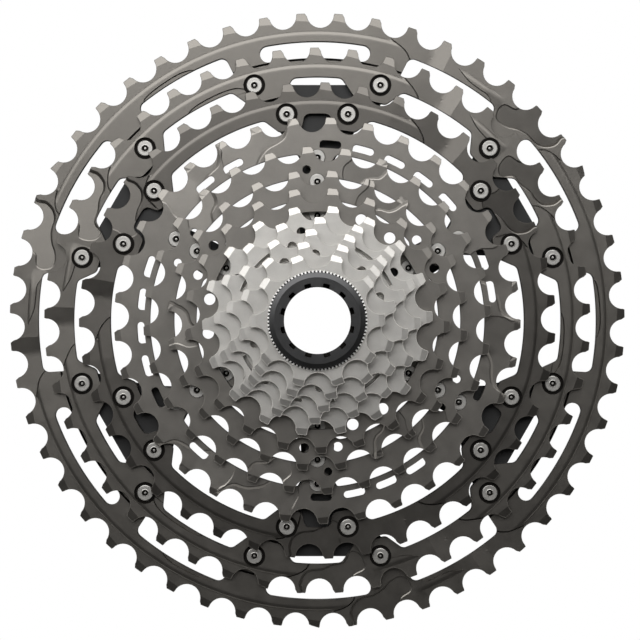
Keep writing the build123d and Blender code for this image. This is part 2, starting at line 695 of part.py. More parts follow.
def main():
    os.makedirs("parts", exist_ok=True)
    write(sprocket_51(), "sprocket_51t")
    write(rimmed_sprocket(45, outer_rivet_places(), LOBE_45_INSET, LOBE_45), "sprocket_45t")
    write(rimmed_sprocket(39, middle_rivet_places(), LOBE_39_INSET, LOBE_39), "sprocket_39t")
    write(sprocket_33(), "sprocket_33t")
    write(sprocket_28(), "sprocket_28t")
    write(sprocket_24(), "sprocket_24t")
    write(sprocket_21(), "sprocket_21t")
    for teeth in (18, 16, 14, 12):
        write(loose_sprocket(teeth), "sprocket_%dt" % teeth)
    write(sprocket_10(), "sprocket_10t")
    for lower, upper in ((21, 18), (18, 16), (16, 14), (14, 12)):
        write(spacer(lower, upper), "spacer_%d_%d" % (lower, upper))
    write(outer_spider(), "outer_spider")
    write(inner_spider(), "inner_spider")
    write(outer_rivets(), "rivets_51t_45t")
    write(middle_rivets(), "rivets_39t")
    for teeth in (33, 28, 24):
        write(inner_rivets(teeth), "rivets_%dt" % teeth)
    write(lock_ring(), "lock_ring")
    write(lock_washer(), "lock_washer")


main()
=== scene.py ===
# %% [markdown]
# # The looks of a twelve-speed bicycle cassette
#
# A cassette is a cone of thin toothed plates. Almost everything that catches the eye is in the
# plates: the round seats between the teeth, the sloped tips, the raised rims of the three big
# plates, and the scooped pockets where a chain climbs from one plate to the next. The plan for
# this file is therefore one good tool, a flat plate with relief, and one short cell for each
# plate that says which outline and which relief it has. Lengths are in millimetres until the
# last moment, when a mesh is made in metres.

import bpy
import numpy as np
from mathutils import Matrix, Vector
from mathutils.geometry import delaunay_2d_cdt


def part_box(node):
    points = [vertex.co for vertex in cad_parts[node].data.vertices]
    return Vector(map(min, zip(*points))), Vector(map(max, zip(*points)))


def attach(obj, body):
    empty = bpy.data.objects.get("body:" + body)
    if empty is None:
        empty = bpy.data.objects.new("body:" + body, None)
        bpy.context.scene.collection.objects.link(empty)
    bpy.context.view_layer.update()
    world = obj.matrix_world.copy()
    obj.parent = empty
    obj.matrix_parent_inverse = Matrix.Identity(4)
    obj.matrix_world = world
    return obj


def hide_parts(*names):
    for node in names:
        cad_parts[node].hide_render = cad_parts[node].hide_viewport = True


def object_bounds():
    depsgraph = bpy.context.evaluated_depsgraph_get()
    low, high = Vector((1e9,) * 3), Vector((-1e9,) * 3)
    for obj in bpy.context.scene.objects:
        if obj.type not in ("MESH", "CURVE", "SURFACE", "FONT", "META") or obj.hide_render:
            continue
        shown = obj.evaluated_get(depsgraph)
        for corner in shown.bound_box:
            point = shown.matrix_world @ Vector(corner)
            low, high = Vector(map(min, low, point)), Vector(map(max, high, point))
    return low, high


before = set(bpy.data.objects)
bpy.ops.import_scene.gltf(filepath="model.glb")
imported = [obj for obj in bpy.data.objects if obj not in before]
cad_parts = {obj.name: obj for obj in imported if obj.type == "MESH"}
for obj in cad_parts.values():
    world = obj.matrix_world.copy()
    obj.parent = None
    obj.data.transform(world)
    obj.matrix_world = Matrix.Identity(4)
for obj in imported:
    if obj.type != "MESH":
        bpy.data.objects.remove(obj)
cad_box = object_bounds()
MM = 0.001

# %% [markdown]
# ## Where things are
#
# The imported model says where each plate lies, so the heights are read from its boxes. Only the
# numbers that a box can't give, such as the pitch of the chain or the way a plate is clocked,
# are written here. They are the same driving dimensions that the design uses.

# %% The sizes that shape a sprocket
CHAIN_PITCH = 12.7
SEAT_RADIUS = 4.6
SEAT_RISE = 0.68
SEAT_LEAN = 0.25
TIP_RISE = 1.1
TIP_WIDTH = 2.7
CLOCKING = {51: 1.35, 45: 2.6, 39: 5.1, 33: 9.95, 28: 3.45, 24: 9.4,
            21: 14.8, 18: 2.2, 16: 21.3, 14: 17.3, 12: 10.8, 10: 1.0}
ARMS = 30.0 + 60.0 * np.arange(6)
THIRDS = 120.0 * np.arange(3)
EDGE = 0.13                                # width of the broken edge on every plate


def node_heights(node):
    """Lowest and highest point of a node, in millimetres."""
    low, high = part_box(node)
    return low[2] / MM, high[2] / MM


def pitch_radius(teeth):
    return CHAIN_PITCH / (2 * np.sin(np.pi / teeth))


def root_radius(teeth):
    return pitch_radius(teeth) + SEAT_RISE - SEAT_RADIUS


def tip_radius(teeth):
    return pitch_radius(teeth) + TIP_RISE


BACK = {teeth: node_heights("sprocket_%dt" % teeth)[0] for teeth in CLOCKING}
BACK[10] = node_heights("sprocket_12t")[0] + BACK[45]
THICKNESS = node_heights("sprocket_18t")[1] - BACK[18]
print("plate thickness %.2f mm, stack %.2f mm" % (THICKNESS, BACK[10]))

# %% [markdown]
# ## Lines in the plane
#
# An outline is a closed line of points. Three ways of making one cover the whole object: arcs
# about the axis, corners that are rounded by a given radius, and a smooth curve through a few
# chosen points. Every function works on whole arrays.

# %% Arcs, rounded corners and smooth curves


def polar(angle, radius, across=0.0):
    """Points at angles in degrees: radius along the ray and across at right angles to it."""
    a = np.radians(np.asarray(angle, float))
    radius = np.asarray(radius, float)
    across = np.asarray(across, float)
    x = radius * np.cos(a) - across * np.sin(a)
    y = radius * np.sin(a) + across * np.cos(a)
    return np.stack(np.broadcast_arrays(x, y), axis=-1)


def arc(radius, first, last, step=1.2):
    """An arc about the axis, with a point about every step millimetres."""
    count = max(2, int(abs(np.radians(last - first)) * radius / step) + 1)
    return polar(np.linspace(first, last, count), radius)


def circle(radius, centre=(0.0, 0.0), count=None):
    """A closed circle of points."""
    count = count or int(max(24, 2 * np.pi * radius / 1.2))
    return polar(np.arange(count) * 360 / count, radius) + np.asarray(centre)


def make_room(points, radii):
    """Drops plain points that lie within a corner's reach, so that the corner has room to turn."""
    keep = np.ones(len(points), bool)
    for corner in np.flatnonzero(radii > 0):
        here = points[corner]
        ahead = points[(corner + 1) % len(points)] - here
        behind = points[corner - 1] - here
        cosine = ahead @ behind / max(np.linalg.norm(ahead) * np.linalg.norm(behind), 1e-9)
        reach = radii[corner] / np.tan(max(np.arccos(np.clip(cosine, -1, 1)) / 2, 0.05))
        for way in (1, -1):
            other = (corner + way) % len(points)
            while radii[other] == 0 and np.linalg.norm(points[other] - here) < 1.15 * reach:
                keep[other] = False
                other = (other + way) % len(points)
    return points[keep], radii[keep]


def rounded(points, radii, steps=7):
    """Each corner of a closed outline becomes an arc.

    For a corner that turns by t, the arc touches both sides at radius * tan(t / 2) from the
    corner. The arc is a quadratic blend of the two touching points and the corner, lifted to a
    circle by its rational weight cos(t / 2).
    """
    points = np.asarray(points, float)
    points, radii = make_room(points, np.broadcast_to(np.asarray(radii, float), len(points)))
    before = np.roll(points, 1, axis=0) - points
    after = np.roll(points, -1, axis=0) - points
    length_before = np.linalg.norm(before, axis=1)
    length_after = np.linalg.norm(after, axis=1)
    before /= length_before[:, None]
    after /= length_after[:, None]
    turn = np.pi - np.arccos(np.clip((before * after).sum(1), -1, 1))
    reach = radii * np.tan(turn / 2)
    share = np.minimum(1.0, 0.98 * length_after / np.maximum(reach + np.roll(reach, -1), 1e-9))
    reach = reach * np.minimum(share, np.roll(share, 1))
    start = points + before * reach[:, None]
    end = points + after * reach[:, None]
    t = np.linspace(0, 1, steps)[None, :, None]
    weight = np.cos(turn / 2)[:, None, None]
    first, middle, last = (1 - t) ** 2, 2 * t * (1 - t) * weight, t ** 2
    top = first * start[:, None] + middle * points[:, None] + last * end[:, None]
    curve = top / (first + middle + last)
    return tidy(curve.reshape(-1, 2))


def tidy(loop, least=1e-3):
    """Drops points that lie on the point before them."""
    step = np.linalg.norm(loop - np.roll(loop, 1, axis=0), axis=1)
    return loop[step > least]


def smooth(points, per=7):
    """A closed Catmull-Rom curve: between two points it is the cubic whose slope at each point
    is half the way from the point before to the point after."""
    p1 = np.asarray(points, float)
    p0, p2, p3 = np.roll(p1, 1, axis=0), np.roll(p1, -1, axis=0), np.roll(p1, -2, axis=0)
    t = (np.arange(per) / per)[None, :, None]
    a, b, c, d = (q[:, None] for q in (p0, p1, p2, p3))
    curve = 0.5 * (2 * b + (c - a) * t + (2 * a - 5 * b + 4 * c - d) * t ** 2
                   + (3 * b - a - 3 * c + d) * t ** 3)
    return tidy(curve.reshape(-1, 2))


def through(points, per=6):
    """An open curve through points, made like smooth but with its ends left free."""
    points = np.asarray(points, float)
    ends = np.concatenate([[2 * points[0] - points[1]], points, [2 * points[-1] - points[-2]]])
    a, b, c, d = (ends[k:len(ends) - 3 + k, None] for k in range(4))
    t = (np.arange(per) / per)[None, :, None]
    curve = 0.5 * (2 * b + (c - a) * t + (2 * a - 5 * b + 4 * c - d) * t ** 2
                   + (3 * b - a - 3 * c + d) * t ** 3)
    return np.concatenate([curve.reshape(-1, 2), points[-1:]])


def signed_area(loop):
    x, y = loop[:, 0], loop[:, 1]
    return 0.5 * np.sum(x * np.roll(y, -1) - np.roll(x, -1) * y)


def side_step(loop, distance):
    """Moves a closed line to its right by a distance, mitring the corners.

    The distance is one number or one for each point.
    """
    ahead = np.roll(loop, -1, axis=0) - loop
    ahead /= np.maximum(np.linalg.norm(ahead, axis=1), 1e-9)[:, None]
    behind = np.roll(ahead, 1, axis=0)
    right_a = np.stack([ahead[:, 1], -ahead[:, 0]], 1)
    right_b = np.stack([behind[:, 1], -behind[:, 0]], 1)
    share = np.maximum(1 + (right_a * right_b).sum(1), 0.35)
    return loop + (right_a + right_b) / share[:, None] * np.broadcast_to(distance, len(loop))[:, None]


def inset(loop, distance, hole=False):
    """The line inside the metal, a distance from the edge."""
    facing = loop if (signed_area(loop) > 0) != hole else loop[::-1]
    return side_step(facing, -distance)


# %% [markdown]
# ## Relief
#
# A relief is a closed line, a rise (or a fall, if negative) and the width of the slope that
# leads up to it. The height at a point is the rise times how far the point lies inside the
# line, in shares of the slope's width. To keep a slope's two edges crisp, both of them become
# edges of the mesh.

# %% How far a point lies inside a closed line


def depth_inside(points, loop):
    """Distance to the closed line, positive inside and negative outside."""
    a, b = loop, np.roll(loop, -1, axis=0)
    out = np.empty(len(points))
    for part in np.array_split(np.arange(len(points)), max(1, len(points) // 1500)):
        p = points[part][:, None]
        along = b - a
        t = ((p - a) * along).sum(-1) / np.maximum((along ** 2).sum(-1), 1e-12)
        near = a + np.clip(t, 0, 1)[..., None] * along
        gap = np.sqrt(((p - near) ** 2).sum(-1).min(1))
        spans = (a[:, 1] > p[..., 1]) != (b[:, 1] > p[..., 1])
        rise = np.where(b[:, 1] == a[:, 1], 1e-12, b[:, 1] - a[:, 1])
        cross = a[:, 0] + (p[..., 1] - a[:, 1]) / rise * along[:, 0] > p[..., 0]
        inside = (spans & cross).sum(1) % 2 == 1
        out[part] = np.where(inside, gap, -gap)
    return out


class Relief:
    """Raised or sunk area with a sloped border, level or with a shaped floor.

    The border climbs rise per slope until it meets the floor. floor is a function that gives
    the floor's height at points, never higher or deeper than rise.
    """

    def __init__(self, loop, rise, slope, floor=None):
        self.loop = loop if signed_area(loop) > 0 else loop[::-1]
        self.rise = rise
        self.slope = slope
        self.floor = floor or (lambda points: np.full(len(points), float(rise)))

    def height(self, points):
        steep = abs(self.rise) / self.slope
        floor = self.floor(points)
        climb = steep * np.maximum(depth_inside(points, self.loop), 0)
        return np.sign(floor) * np.minimum(np.abs(floor), climb)

    def lines(self):
        reach = np.abs(self.floor(self.loop)) * self.slope / abs(self.rise)
        return [self.loop, side_step(self.loop, -np.maximum(reach, 0.05))]


# %% [markdown]
# ## The plate
#
# The top of a plate is a triangulation that keeps every edge of the outline and of the relief.
# The back is the same triangulation turned over. Between them runs a narrow broken edge, a
# straight wall and another broken edge, so light catches each rim as it does on real metal.
# Building by hand from faces like these keeps the mesh closed, which a Boolean would not.

# %% Mesh from arrays


def mark_sharp(mesh, sharp, wall_sharp=38.0):
    """Marks edges whose two faces meet at more than an angle.

    Upright walls are rounded by short facets, so between two walls the limit is wider.
    """
    faces = len(mesh.polygons)
    normals = np.empty(faces * 3, np.float32)
    mesh.polygons.foreach_get("normal", normals)
    normals = normals.reshape(-1, 3)
    sizes = np.empty(faces, np.int32)
    mesh.polygons.foreach_get("loop_total", sizes)
    edge_of = np.empty(len(mesh.loops), np.int32)
    mesh.loops.foreach_get("edge_index", edge_of)
    order = np.argsort(edge_of, kind="stable")
    if len(order) != 2 * len(mesh.edges):
        raise ValueError(mesh.name + " is not closed")
    pair = np.repeat(np.arange(faces), sizes)[order].reshape(-1, 2)
    a, b = normals[pair[:, 0]], normals[pair[:, 1]]
    walls = (np.abs(a[:, 2]) < 0.3) & (np.abs(b[:, 2]) < 0.3)
    limit = np.where(walls, np.cos(np.radians(wall_sharp)), np.cos(np.radians(sharp)))
    marks = mesh.attributes.new("sharp_edge", "BOOLEAN", "EDGE")
    marks.data.foreach_set("value", (a * b).sum(1) < limit)


def make_mesh(name, points, polygons, sharp=5.0):
    """A mesh in metres from points in millimetres and a list of (n, corners) index arrays."""
    counts = np.concatenate([np.full(len(p), p.shape[1]) for p in polygons])
    corners = np.concatenate([p.ravel() for p in polygons])
    mesh = bpy.data.meshes.new(name)
    mesh.vertices.add(len(points))
    mesh.vertices.foreach_set("co", (np.asarray(points, float) * MM).ravel())
    mesh.loops.add(len(corners))
    mesh.loops.foreach_set("vertex_index", corners.astype(np.int32))
    mesh.polygons.add(len(counts))
    starts = np.concatenate([[0], np.cumsum(counts)[:-1]])
    mesh.polygons.foreach_set("loop_start", starts.astype(np.int32))
    mesh.polygons.foreach_set("use_smooth", np.ones(len(counts), bool))
    mesh.update(calc_edges=True)
    mesh.validate()
    mark_sharp(mesh, sharp)
    piece = bpy.data.objects.new(name, mesh)
    bpy.context.scene.collection.objects.link(piece)
    return piece


def triangulate(rings, lines):
    """Triangles that fill the outline and keep every given edge: points, triangles."""
    loops = [*rings, *lines]
    points = np.concatenate(loops)
    ends = np.cumsum([len(loop) for loop in loops])
    number = np.arange(len(points))
    following = number + 1
    following[ends - 1] = np.concatenate([[0], ends[:-1]])
    edges = np.stack([number, following], 1)
    result = delaunay_2d_cdt([Vector(p) for p in points], edges.tolist(), [], 0, 1e-5)
    flat = np.array([tuple(v) for v in result[0]])
    faces = np.array([f for f in result[2] if len(f) == 3])
    middle = flat[faces].mean(1)
    inside = depth_inside(middle, rings[0]) > 0
    for ring in rings[1:]:
        inside &= depth_inside(middle, ring) < 0
    faces = faces[inside]
    a, b, c = flat[faces[:, 0]], flat[faces[:, 1]], flat[faces[:, 2]]
    turn = (b[:, 0] - a[:, 0]) * (c[:, 1] - a[:, 1]) - (b[:, 1] - a[:, 1]) * (c[:, 0] - a[:, 0])
    faces[turn < 0] = faces[turn < 0][:, ::-1]
    used, faces = np.unique(faces, return_inverse=True)
    return flat[used], faces.reshape(-1, 3)


def border_of(faces, count):
    """The directed edges that only one triangle has, with the metal on their left."""
    edges = np.concatenate([faces[:, [0, 1]], faces[:, [1, 2]], faces[:, [2, 0]]])
    key = edges[:, 0] * count + edges[:, 1]
    twin = edges[:, 1] * count + edges[:, 0]
    return edges[~np.isin(key, twin)]


def outward(flat, border):
    """For each border point, the mitred step of length one away from the metal."""
    ahead = flat[border[:, 1]] - flat[border[:, 0]]
    ahead /= np.maximum(np.linalg.norm(ahead, axis=1), 1e-9)[:, None]
    right = np.stack([ahead[:, 1], -ahead[:, 0]], 1)
    after = np.zeros_like(flat)
    before = np.zeros_like(flat)
    after[border[:, 0]] = right
    before[border[:, 1]] = right
    share = np.maximum(1 + (after * before).sum(1), 0.5)
    return (after + before) / share[:, None]


def plate(name, outline, holes, top, back, reliefs=(), extra_lines=(), edge=EDGE, sharp=5.0):
    """A closed plate. top and back give the height of every point of the plane."""
    rings = [inset(outline, edge)] + [inset(hole, edge, hole=True) for hole in holes]
    lines = [line for relief in reliefs for line in relief.lines()] + list(extra_lines)
    flat, faces = triangulate(rings, lines)
    count = len(flat)
    border = border_of(faces, count)
    step = outward(flat, border)
    rim = np.unique(border)
    slot_of = np.full(count, -1)
    slot_of[rim] = np.arange(len(rim))
    high, low = top(flat), back(flat)
    wide = flat[rim] + step[rim] * edge
    points = np.concatenate([
        np.column_stack([flat, high]),
        np.column_stack([flat, low]),
        np.column_stack([wide, high[rim] - edge]),
        np.column_stack([wide, low[rim] + edge])])
    a, b = border[:, 0], border[:, 1]
    upper_a, upper_b = 2 * count + slot_of[a], 2 * count + slot_of[b]
    lower_a, lower_b = upper_a + len(rim), upper_b + len(rim)
    quads = np.concatenate([
        np.stack([a, upper_a, upper_b, b], 1),
        np.stack([upper_a, lower_a, lower_b, upper_b], 1),
        np.stack([lower_a, a + count, b + count, lower_b], 1)])
    piece = make_mesh(name, points, [faces, faces[:, ::-1] + count, quads], sharp)
    print(name, "triangles", len(piece.data.polygons), "points", len(points))
    return piece


def level(height):
    """A flat top or back."""
    return lambda points: np.full(len(points), float(height))


# %% [markdown]
# ## Teeth
#
# A tooth is what two round seats leave between them. The seats lean a little, so each tooth has
# a steep leading side and a sloped trailing side. The front of every tip is cut to a slope, and
# on the real plates the foot of that slope is not square to the tooth, so the cut is described
# by a straight line across each tooth and how steeply the metal falls beyond it.

# %% The toothed outline and its sloped tips
SEAT_STEPS = 15


def toothed(teeth, short=()):
    """Outline of all teeth: (teeth, points of one tooth and the seat after it, 2).

    One seat is an arc of SEAT_RADIUS about a centre on the pitch circle plus SEAT_RISE.
    """
    pitch = 360.0 / teeth
    number = np.arange(teeth)
    middle = CLOCKING[teeth] + pitch * number
    top = np.full(teeth, tip_radius(teeth))
    lead_top = top - 0.8 * np.isin(number, list(short))
    tip = np.stack([polar(middle, lead_top, -TIP_WIDTH / 2), polar(middle, top, TIP_WIDTH / 2)], 1)
    swing = np.radians(np.linspace(183.0, 350.0, SEAT_STEPS))
    along = pitch_radius(teeth) + SEAT_RISE + SEAT_RADIUS * np.sin(swing)
    across = SEAT_RADIUS * np.cos(swing) - SEAT_LEAN
    seat = polar(middle[:, None] + pitch / 2, along[None], across[None])
    return np.concatenate([tip, seat], axis=1)


def tip_slope(teeth, outline, lead_depth, trail_depth, drop, skip=()):
    """The line across each tooth where its slope starts, and the fall beyond it.

    The line joins the seat points that lie nearest the wanted depth below the tip on either
    side of the tooth. Beyond it the height falls by drop over the longer of the two depths.
    """
    radius = np.linalg.norm(outline, axis=2)
    tip = tip_radius(teeth)
    half = 2 + SEAT_STEPS // 2
    trail = 2 + np.abs(radius[:, 2:half] - (tip - trail_depth)).argmin(1)
    lead = half + np.abs(radius[:, half:] - (tip - lead_depth)).argmin(1)
    rows = np.arange(teeth)
    trail_point = outline[rows, trail]
    lead_point = np.roll(outline[rows, lead], 1, axis=0)
    across = trail_point - lead_point
    across /= np.linalg.norm(across, axis=1)[:, None]
    normal = np.stack([across[:, 1], -across[:, 0]], 1)
    normal *= np.sign((normal * trail_point).sum(1))[:, None]
    steep = np.full(teeth, drop / max(lead_depth, trail_depth))
    steep[list(skip)] = 0

    def fall(points):
        angle = np.degrees(np.arctan2(points[:, 1], points[:, 0]))
        nearest = np.round((angle - CLOCKING[teeth]) / (360.0 / teeth)).astype(int) % teeth
        beyond = ((points - trail_point[nearest]) * normal[nearest]).sum(1)
        return -np.maximum(beyond, 0) * steep[nearest]

    lines = [np.stack([a, (a + b) / 2, b]) for a, b in zip(lead_point, trail_point)]
    return fall, lines


# %% [markdown]
# ## The three big plates
#
# The 51, 45 and 39 tooth plates are milled from thick alloy. A raised rim runs round most of
# each third of a turn and stops where the chain has to climb; there the metal is lower, with a
# deep pocket, and the tips are left square. Inside the rim, windows save weight and tongues
# reach in to the rivets. All of that repeats three times, so each piece of relief is written
# for one third and turned.

# %% Shared relief of the big plates
RIM_RISE = 0.9
RIM_SLOPE = 0.14
CROWN_WIDTH = 1.6
CROWN_FALL = 0.4
STRIP_RISE = 0.34
LIP_WIDTH = 0.36
LIP_FALL = 0.12
CREASE_WIDTH = 0.55
CREASE_DEPTH = 0.4


def turned(loop, angle):
    """A line or a point turned about the axis."""
    a = np.radians(angle)
    return np.asarray(loop) @ np.array([[np.cos(a), np.sin(a)], [-np.sin(a), np.cos(a)]])


def thirds(loop, rise, slope, floor=None):
    """The same relief three times round the plate."""
    return copies(loop, rise, slope, THIRDS, floor)


def copies(loop, rise, slope, turns, floor=None):
    """One relief at several turns. Its floor is written for the first and turned with it."""
    result = []
    for angle in turns:
        turned_floor = None if floor is None else lambda points, back=-angle: floor(turned(points, back))
        result.append(Relief(turned(loop, angle), rise, slope, turned_floor))
    return result


def crown(foot, rise, share):
    """A floor that is rounded toward its foot circle.

    It starts at share of the rise and climbs the rest as 1 - (1 - t) squared, where t goes from
    0 to 1 over CROWN_WIDTH inward from the foot.
    """
    def floor(points):
        t = np.clip((foot - np.linalg.norm(points, axis=1)) / CROWN_WIDTH, 0, 1)
        return rise * (share + (1 - share) * (1 - (1 - t) ** 2))

    return floor


def crown_lines(foot):
    """Circles that carry the rounding of a crown."""
    return [circle(foot - CROWN_WIDTH * t) for t in (0.2, 0.4, 0.6, 0.8, 1.0, 1.1)]


def leaning(hinge, toward, grade, deepest):
    """A floor that falls by grade for each millimetre beyond the hinge, toward an angle."""
    return lambda points: -np.clip((points - hinge) @ polar(toward, 1.0) * grade, 0, deepest)


def points_at(places):
    """Points from (angle, radius) pairs."""
    return np.array([polar(angle, radius) for angle, radius in places])


def raised_rim(foot, inner, end, start):
    """The raised rim of one third: foot circle, a curved end, the inner circle, a curved start.

    end and start are (angle, radius) pairs, from the foot inward and from inside out.
    """
    outside = arc(foot, start[-1][0] + 0.6, end[0][0] - 0.6)
    inside = arc(inner, end[-1][0] + 0.4, start[0][0] - 0.4)
    return np.concatenate([outside, through(points_at(end)), inside, through(points_at(start))])


def scoop(places, deepest, hinge, grade, slope, turns=THIRDS):
    """A scooped pocket whose floor falls back from its hinge, clockwise, at several turns.

    A shallow lip runs round it first, so that its edge catches the light.
    """
    floor = leaning(polar(*hinge), hinge[0] - 90.0, grade, deepest)
    edge = smooth(points_at(places))
    pocket = side_step(edge, -LIP_WIDTH if signed_area(edge) > 0 else LIP_WIDTH)
    return [*copies(edge, -LIP_FALL, LIP_WIDTH, turns), *copies(pocket, -deepest, slope, turns, floor)]


def creases(*lines):
    """A narrow dark crease along each open line of (angle, radius) places, on all three thirds."""
    result = []
    for line in lines:
        inner = through(points_at(line))
        ahead = np.gradient(inner, axis=0)
        side = np.stack([ahead[:, 1], -ahead[:, 0]], 1) / np.linalg.norm(ahead, axis=1)[:, None]
        aside = side * CREASE_WIDTH / 2
        result += thirds(np.concatenate([inner + aside, (inner - aside)[::-1]]), -CREASE_DEPTH, 0.22)
    return result


def ramp(first, last, back, low, high, drop):
    """The front of one tooth cut to a slope that falls anticlockwise, on all three thirds.

    From its low end the metal climbs back so slowly that the climb can't be seen.
    """
    def floor(points):
        angle = np.degrees(np.arctan2(points[:, 1], points[:, 0]))
        return -drop * np.interp(angle, [first, last, back], [0.0, 1.0, 0.0])

    corners = points_at([(first, high), (first, low), (last, low),
                         (back, low), (back, high), (last, high)])
    return thirds(corners, -drop, 0.25, floor)


def rims(loop, foot):
    """The raised rim on all three thirds, rounded toward its foot."""
    return thirds(loop, RIM_RISE, RIM_SLOPE, crown(foot, RIM_RISE, 1 - CROWN_FALL / RIM_RISE))


def strips(loop, foot, fade):
    """The low strip that carries on from the rim beside a window and fades toward the pocket."""
    rounded_top = crown(foot, STRIP_RISE, 0.0)

    def floor(points):
        angle = np.degrees(np.arctan2(points[:, 1], points[:, 0]))
        return rounded_top(points) * np.clip((angle - fade) / 4.0, 0, 1)

    return thirds(loop, STRIP_RISE, 0.28, floor)


OUTER_RIVETS = polar(np.add.outer(ARMS, [-15.0, 15.0]).ravel(), pitch_radius(45) - 8.96)
MIDDLE_RIVETS = polar(np.add.outer(ARMS, [-8.45, 8.45]).ravel(), pitch_radius(39) - 9.02)

# %% 51 teeth
WINDOW_51 = root_radius(51) - 4.75
FEET_51 = ((9.8, 15.0, 19.3), (41.2, 45.0, 50.2), (70.7, 75.0, 78.6), (102.4, 105.0, 109.3))


def foot_corners(first, centre, last):
    """One tongue of the 51-tooth plate: rim corner, four corners round the rivet, rim corner."""
    rivet = pitch_radius(45) - 8.96
    points = [polar(first, WINDOW_51), polar(centre, rivet, -4.6), polar(centre, rivet - 4.6, -3.4),
              polar(centre, rivet - 4.6, 3.4), polar(centre, rivet, 4.6), polar(last, WINDOW_51)]
    return np.array(points), np.array([2.3, 8.0, 3.0, 3.0, 8.0, 2.3])


def inner_line_51():
    """The inner outline of the largest plate: four tongues and the arcs between them, three times."""
    points, radii = [], []
    for turn in THIRDS:
        for number, (first, centre, last) in enumerate(FEET_51):
            corners, rounding = foot_corners(first + turn, centre + turn, last + turn)
            following = FEET_51[(number + 1) % 4][0] + (120.0 if number == 3 else 0.0) + turn
            if number == 2:
                corners, rounding = corners[:4], rounding[:4]
                bar = arc(85.9, centre + 3.6 + turn, FEET_51[3][1] - 3.6 + turn)
                points += [corners, bar]
                radii += [rounding, np.zeros(len(bar))]
            elif number == 3:
                gap = arc(WINDOW_51, last + turn, following)[1:-1]
                points += [corners[2:], gap]
                radii += [rounding[2:], np.zeros(len(gap))]
            else:
                gap = arc(WINDOW_51, last + turn, following)[1:-1]
                points += [corners, gap]
                radii += [rounding, np.zeros(len(gap))]
    return rounded(np.concatenate(points), np.concatenate(radii))


def closed_window_51(turn):
    """The one window of a third that has an inner bar."""
    outer = arc(WINDOW_51, 78.6 + turn, 102.4 + turn)
    inner = arc(88.9, 102.0 + turn, 79.0 + turn)
    loop = np.concatenate([outer, inner])
    radii = np.zeros(len(loop))
    radii[[0, len(outer) - 1, len(outer), len(loop) - 1]] = 2.6
    return rounded(loop, radii)


FOOT_51, FOOT_45, FOOT_39 = 98.2, 86.6, 74.0    # radii where the raised rims end
POCKET_DEPTH = 1.15
POCKET_WALL = 0.7
SLIVER_DEPTH = 0.7
SLIVER_WALL = 0.3
END_51 = ((153.3, 98.6), (155.0, 97.9), (156.6, 96.6), (157.6, 94.6), (158.0, 91.0))
START_51 = ((69.5, 91.0), (70.8, 94.4), (72.4, 96.6), (75.3, 98.6))
rim_51 = raised_rim(FOOT_51, 80.0, END_51, START_51)
pocket_51 = scoop(((36.9, 105.6), (36.5, 103.0), (36.2, 100.0), (37.1, 96.8), (38.9, 94.9),
                   (41.5, 94.6), (43.6, 93.4), (45.4, 91.6), (47.5, 90.9), (49.0, 92.0),
                   (49.6, 94.8), (49.0, 97.2), (46.9, 98.4), (46.6, 101.0), (46.6, 105.6)),
                  POCKET_DEPTH, (49.6, 96.0), 0.052, POCKET_WALL)
strip_51 = np.concatenate([arc(FOOT_51, 49.6, 60.4), through(points_at(
    ((60.8, 98.0), (59.5, 97.0), (57.6, 95.9), (55.0, 95.6),
     (52.9, 95.6), (51.2, 94.2), (50.0, 92.6), (49.4, 96.4))))])
sliver_51 = np.concatenate([arc(92.6, 129.4, 115.2), through(points_at(
    ((115.8, 94.2), (117.2, 95.3), (119.4, 95.9), (122.5, 95.9),
     (126.0, 95.7), (128.0, 95.2), (129.0, 93.8))))])
reliefs_51 = [*rims(rim_51, FOOT_51), *pocket_51, *strips(strip_51, FOOT_51, 49.6),
              *thirds(sliver_51, -SLIVER_DEPTH, SLIVER_WALL), *creases(END_51, START_51),
              *ramp(63.3, 66.5, 80.0, 88.0, 107.0, 0.5)]


def sprocket_51():
    reliefs = reliefs_51
    holes = [inner_line_51()] + [closed_window_51(turn) for turn in THIRDS]
    shape = toothed(51, (4, 21, 38))
    outline = tidy(shape.reshape(-1, 2))
    gate = np.add.outer(np.array([0, 17, 34]), np.array([5, 6, 7, 8, 9, 10])).ravel()
    fall, lines = tip_slope(51, shape, 3.1, 2.3, 0.8, gate)
    base = BACK[51]

    def top(points):
        rise = sum(relief.height(points) for relief in reliefs)
        # the rim is let down to the plate's level under the teeth of the 45-tooth plate
        centre = np.clip((np.linalg.norm(points, axis=1) - 88.2) / 0.6, 0, 1)
        return base + THICKNESS + fall(points) + np.where(rise > 0, rise * centre, rise)

    steps = [circle(88.2), circle(88.8), *crown_lines(FOOT_51)]
    piece = plate("sprocket_51t_plate", outline, holes, top, level(base), reliefs, lines + steps)
    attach(piece, "cassette")
    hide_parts("sprocket_51t")
    return piece


# %% 45 teeth
WINDOW_45 = root_radius(45) - 5.05


def inner_line(teeth, window, lobe, inner, corner):
    """Inner outline with two tongues on each arm.

    lobe holds the four angles of one tongue, counted from the arm's centre line: where it
    leaves the window, its two inner corners, and where it meets the next window.
    """
    points, radii = [], []
    for arm in ARMS:
        near, inner_near, inner_far, far = lobe
        corners = [window, inner, inner, window]
        left = polar(arm + np.array([-far, -inner_far, -inner_near, -near]), corners)
        right = polar(arm + np.array([near, inner_near, inner_far, far]), corners)
        between = arc(window, arm + far, arm + 60.0 - far)[1:-1]
        points += [left, arc(window, arm - near, arm + near)[1:-1], right, between]
        radii += [np.full(4, corner), np.zeros(len(points[-3])),
                  np.full(4, corner), np.zeros(len(between))]
    return rounded(np.concatenate(points), np.concatenate(radii))


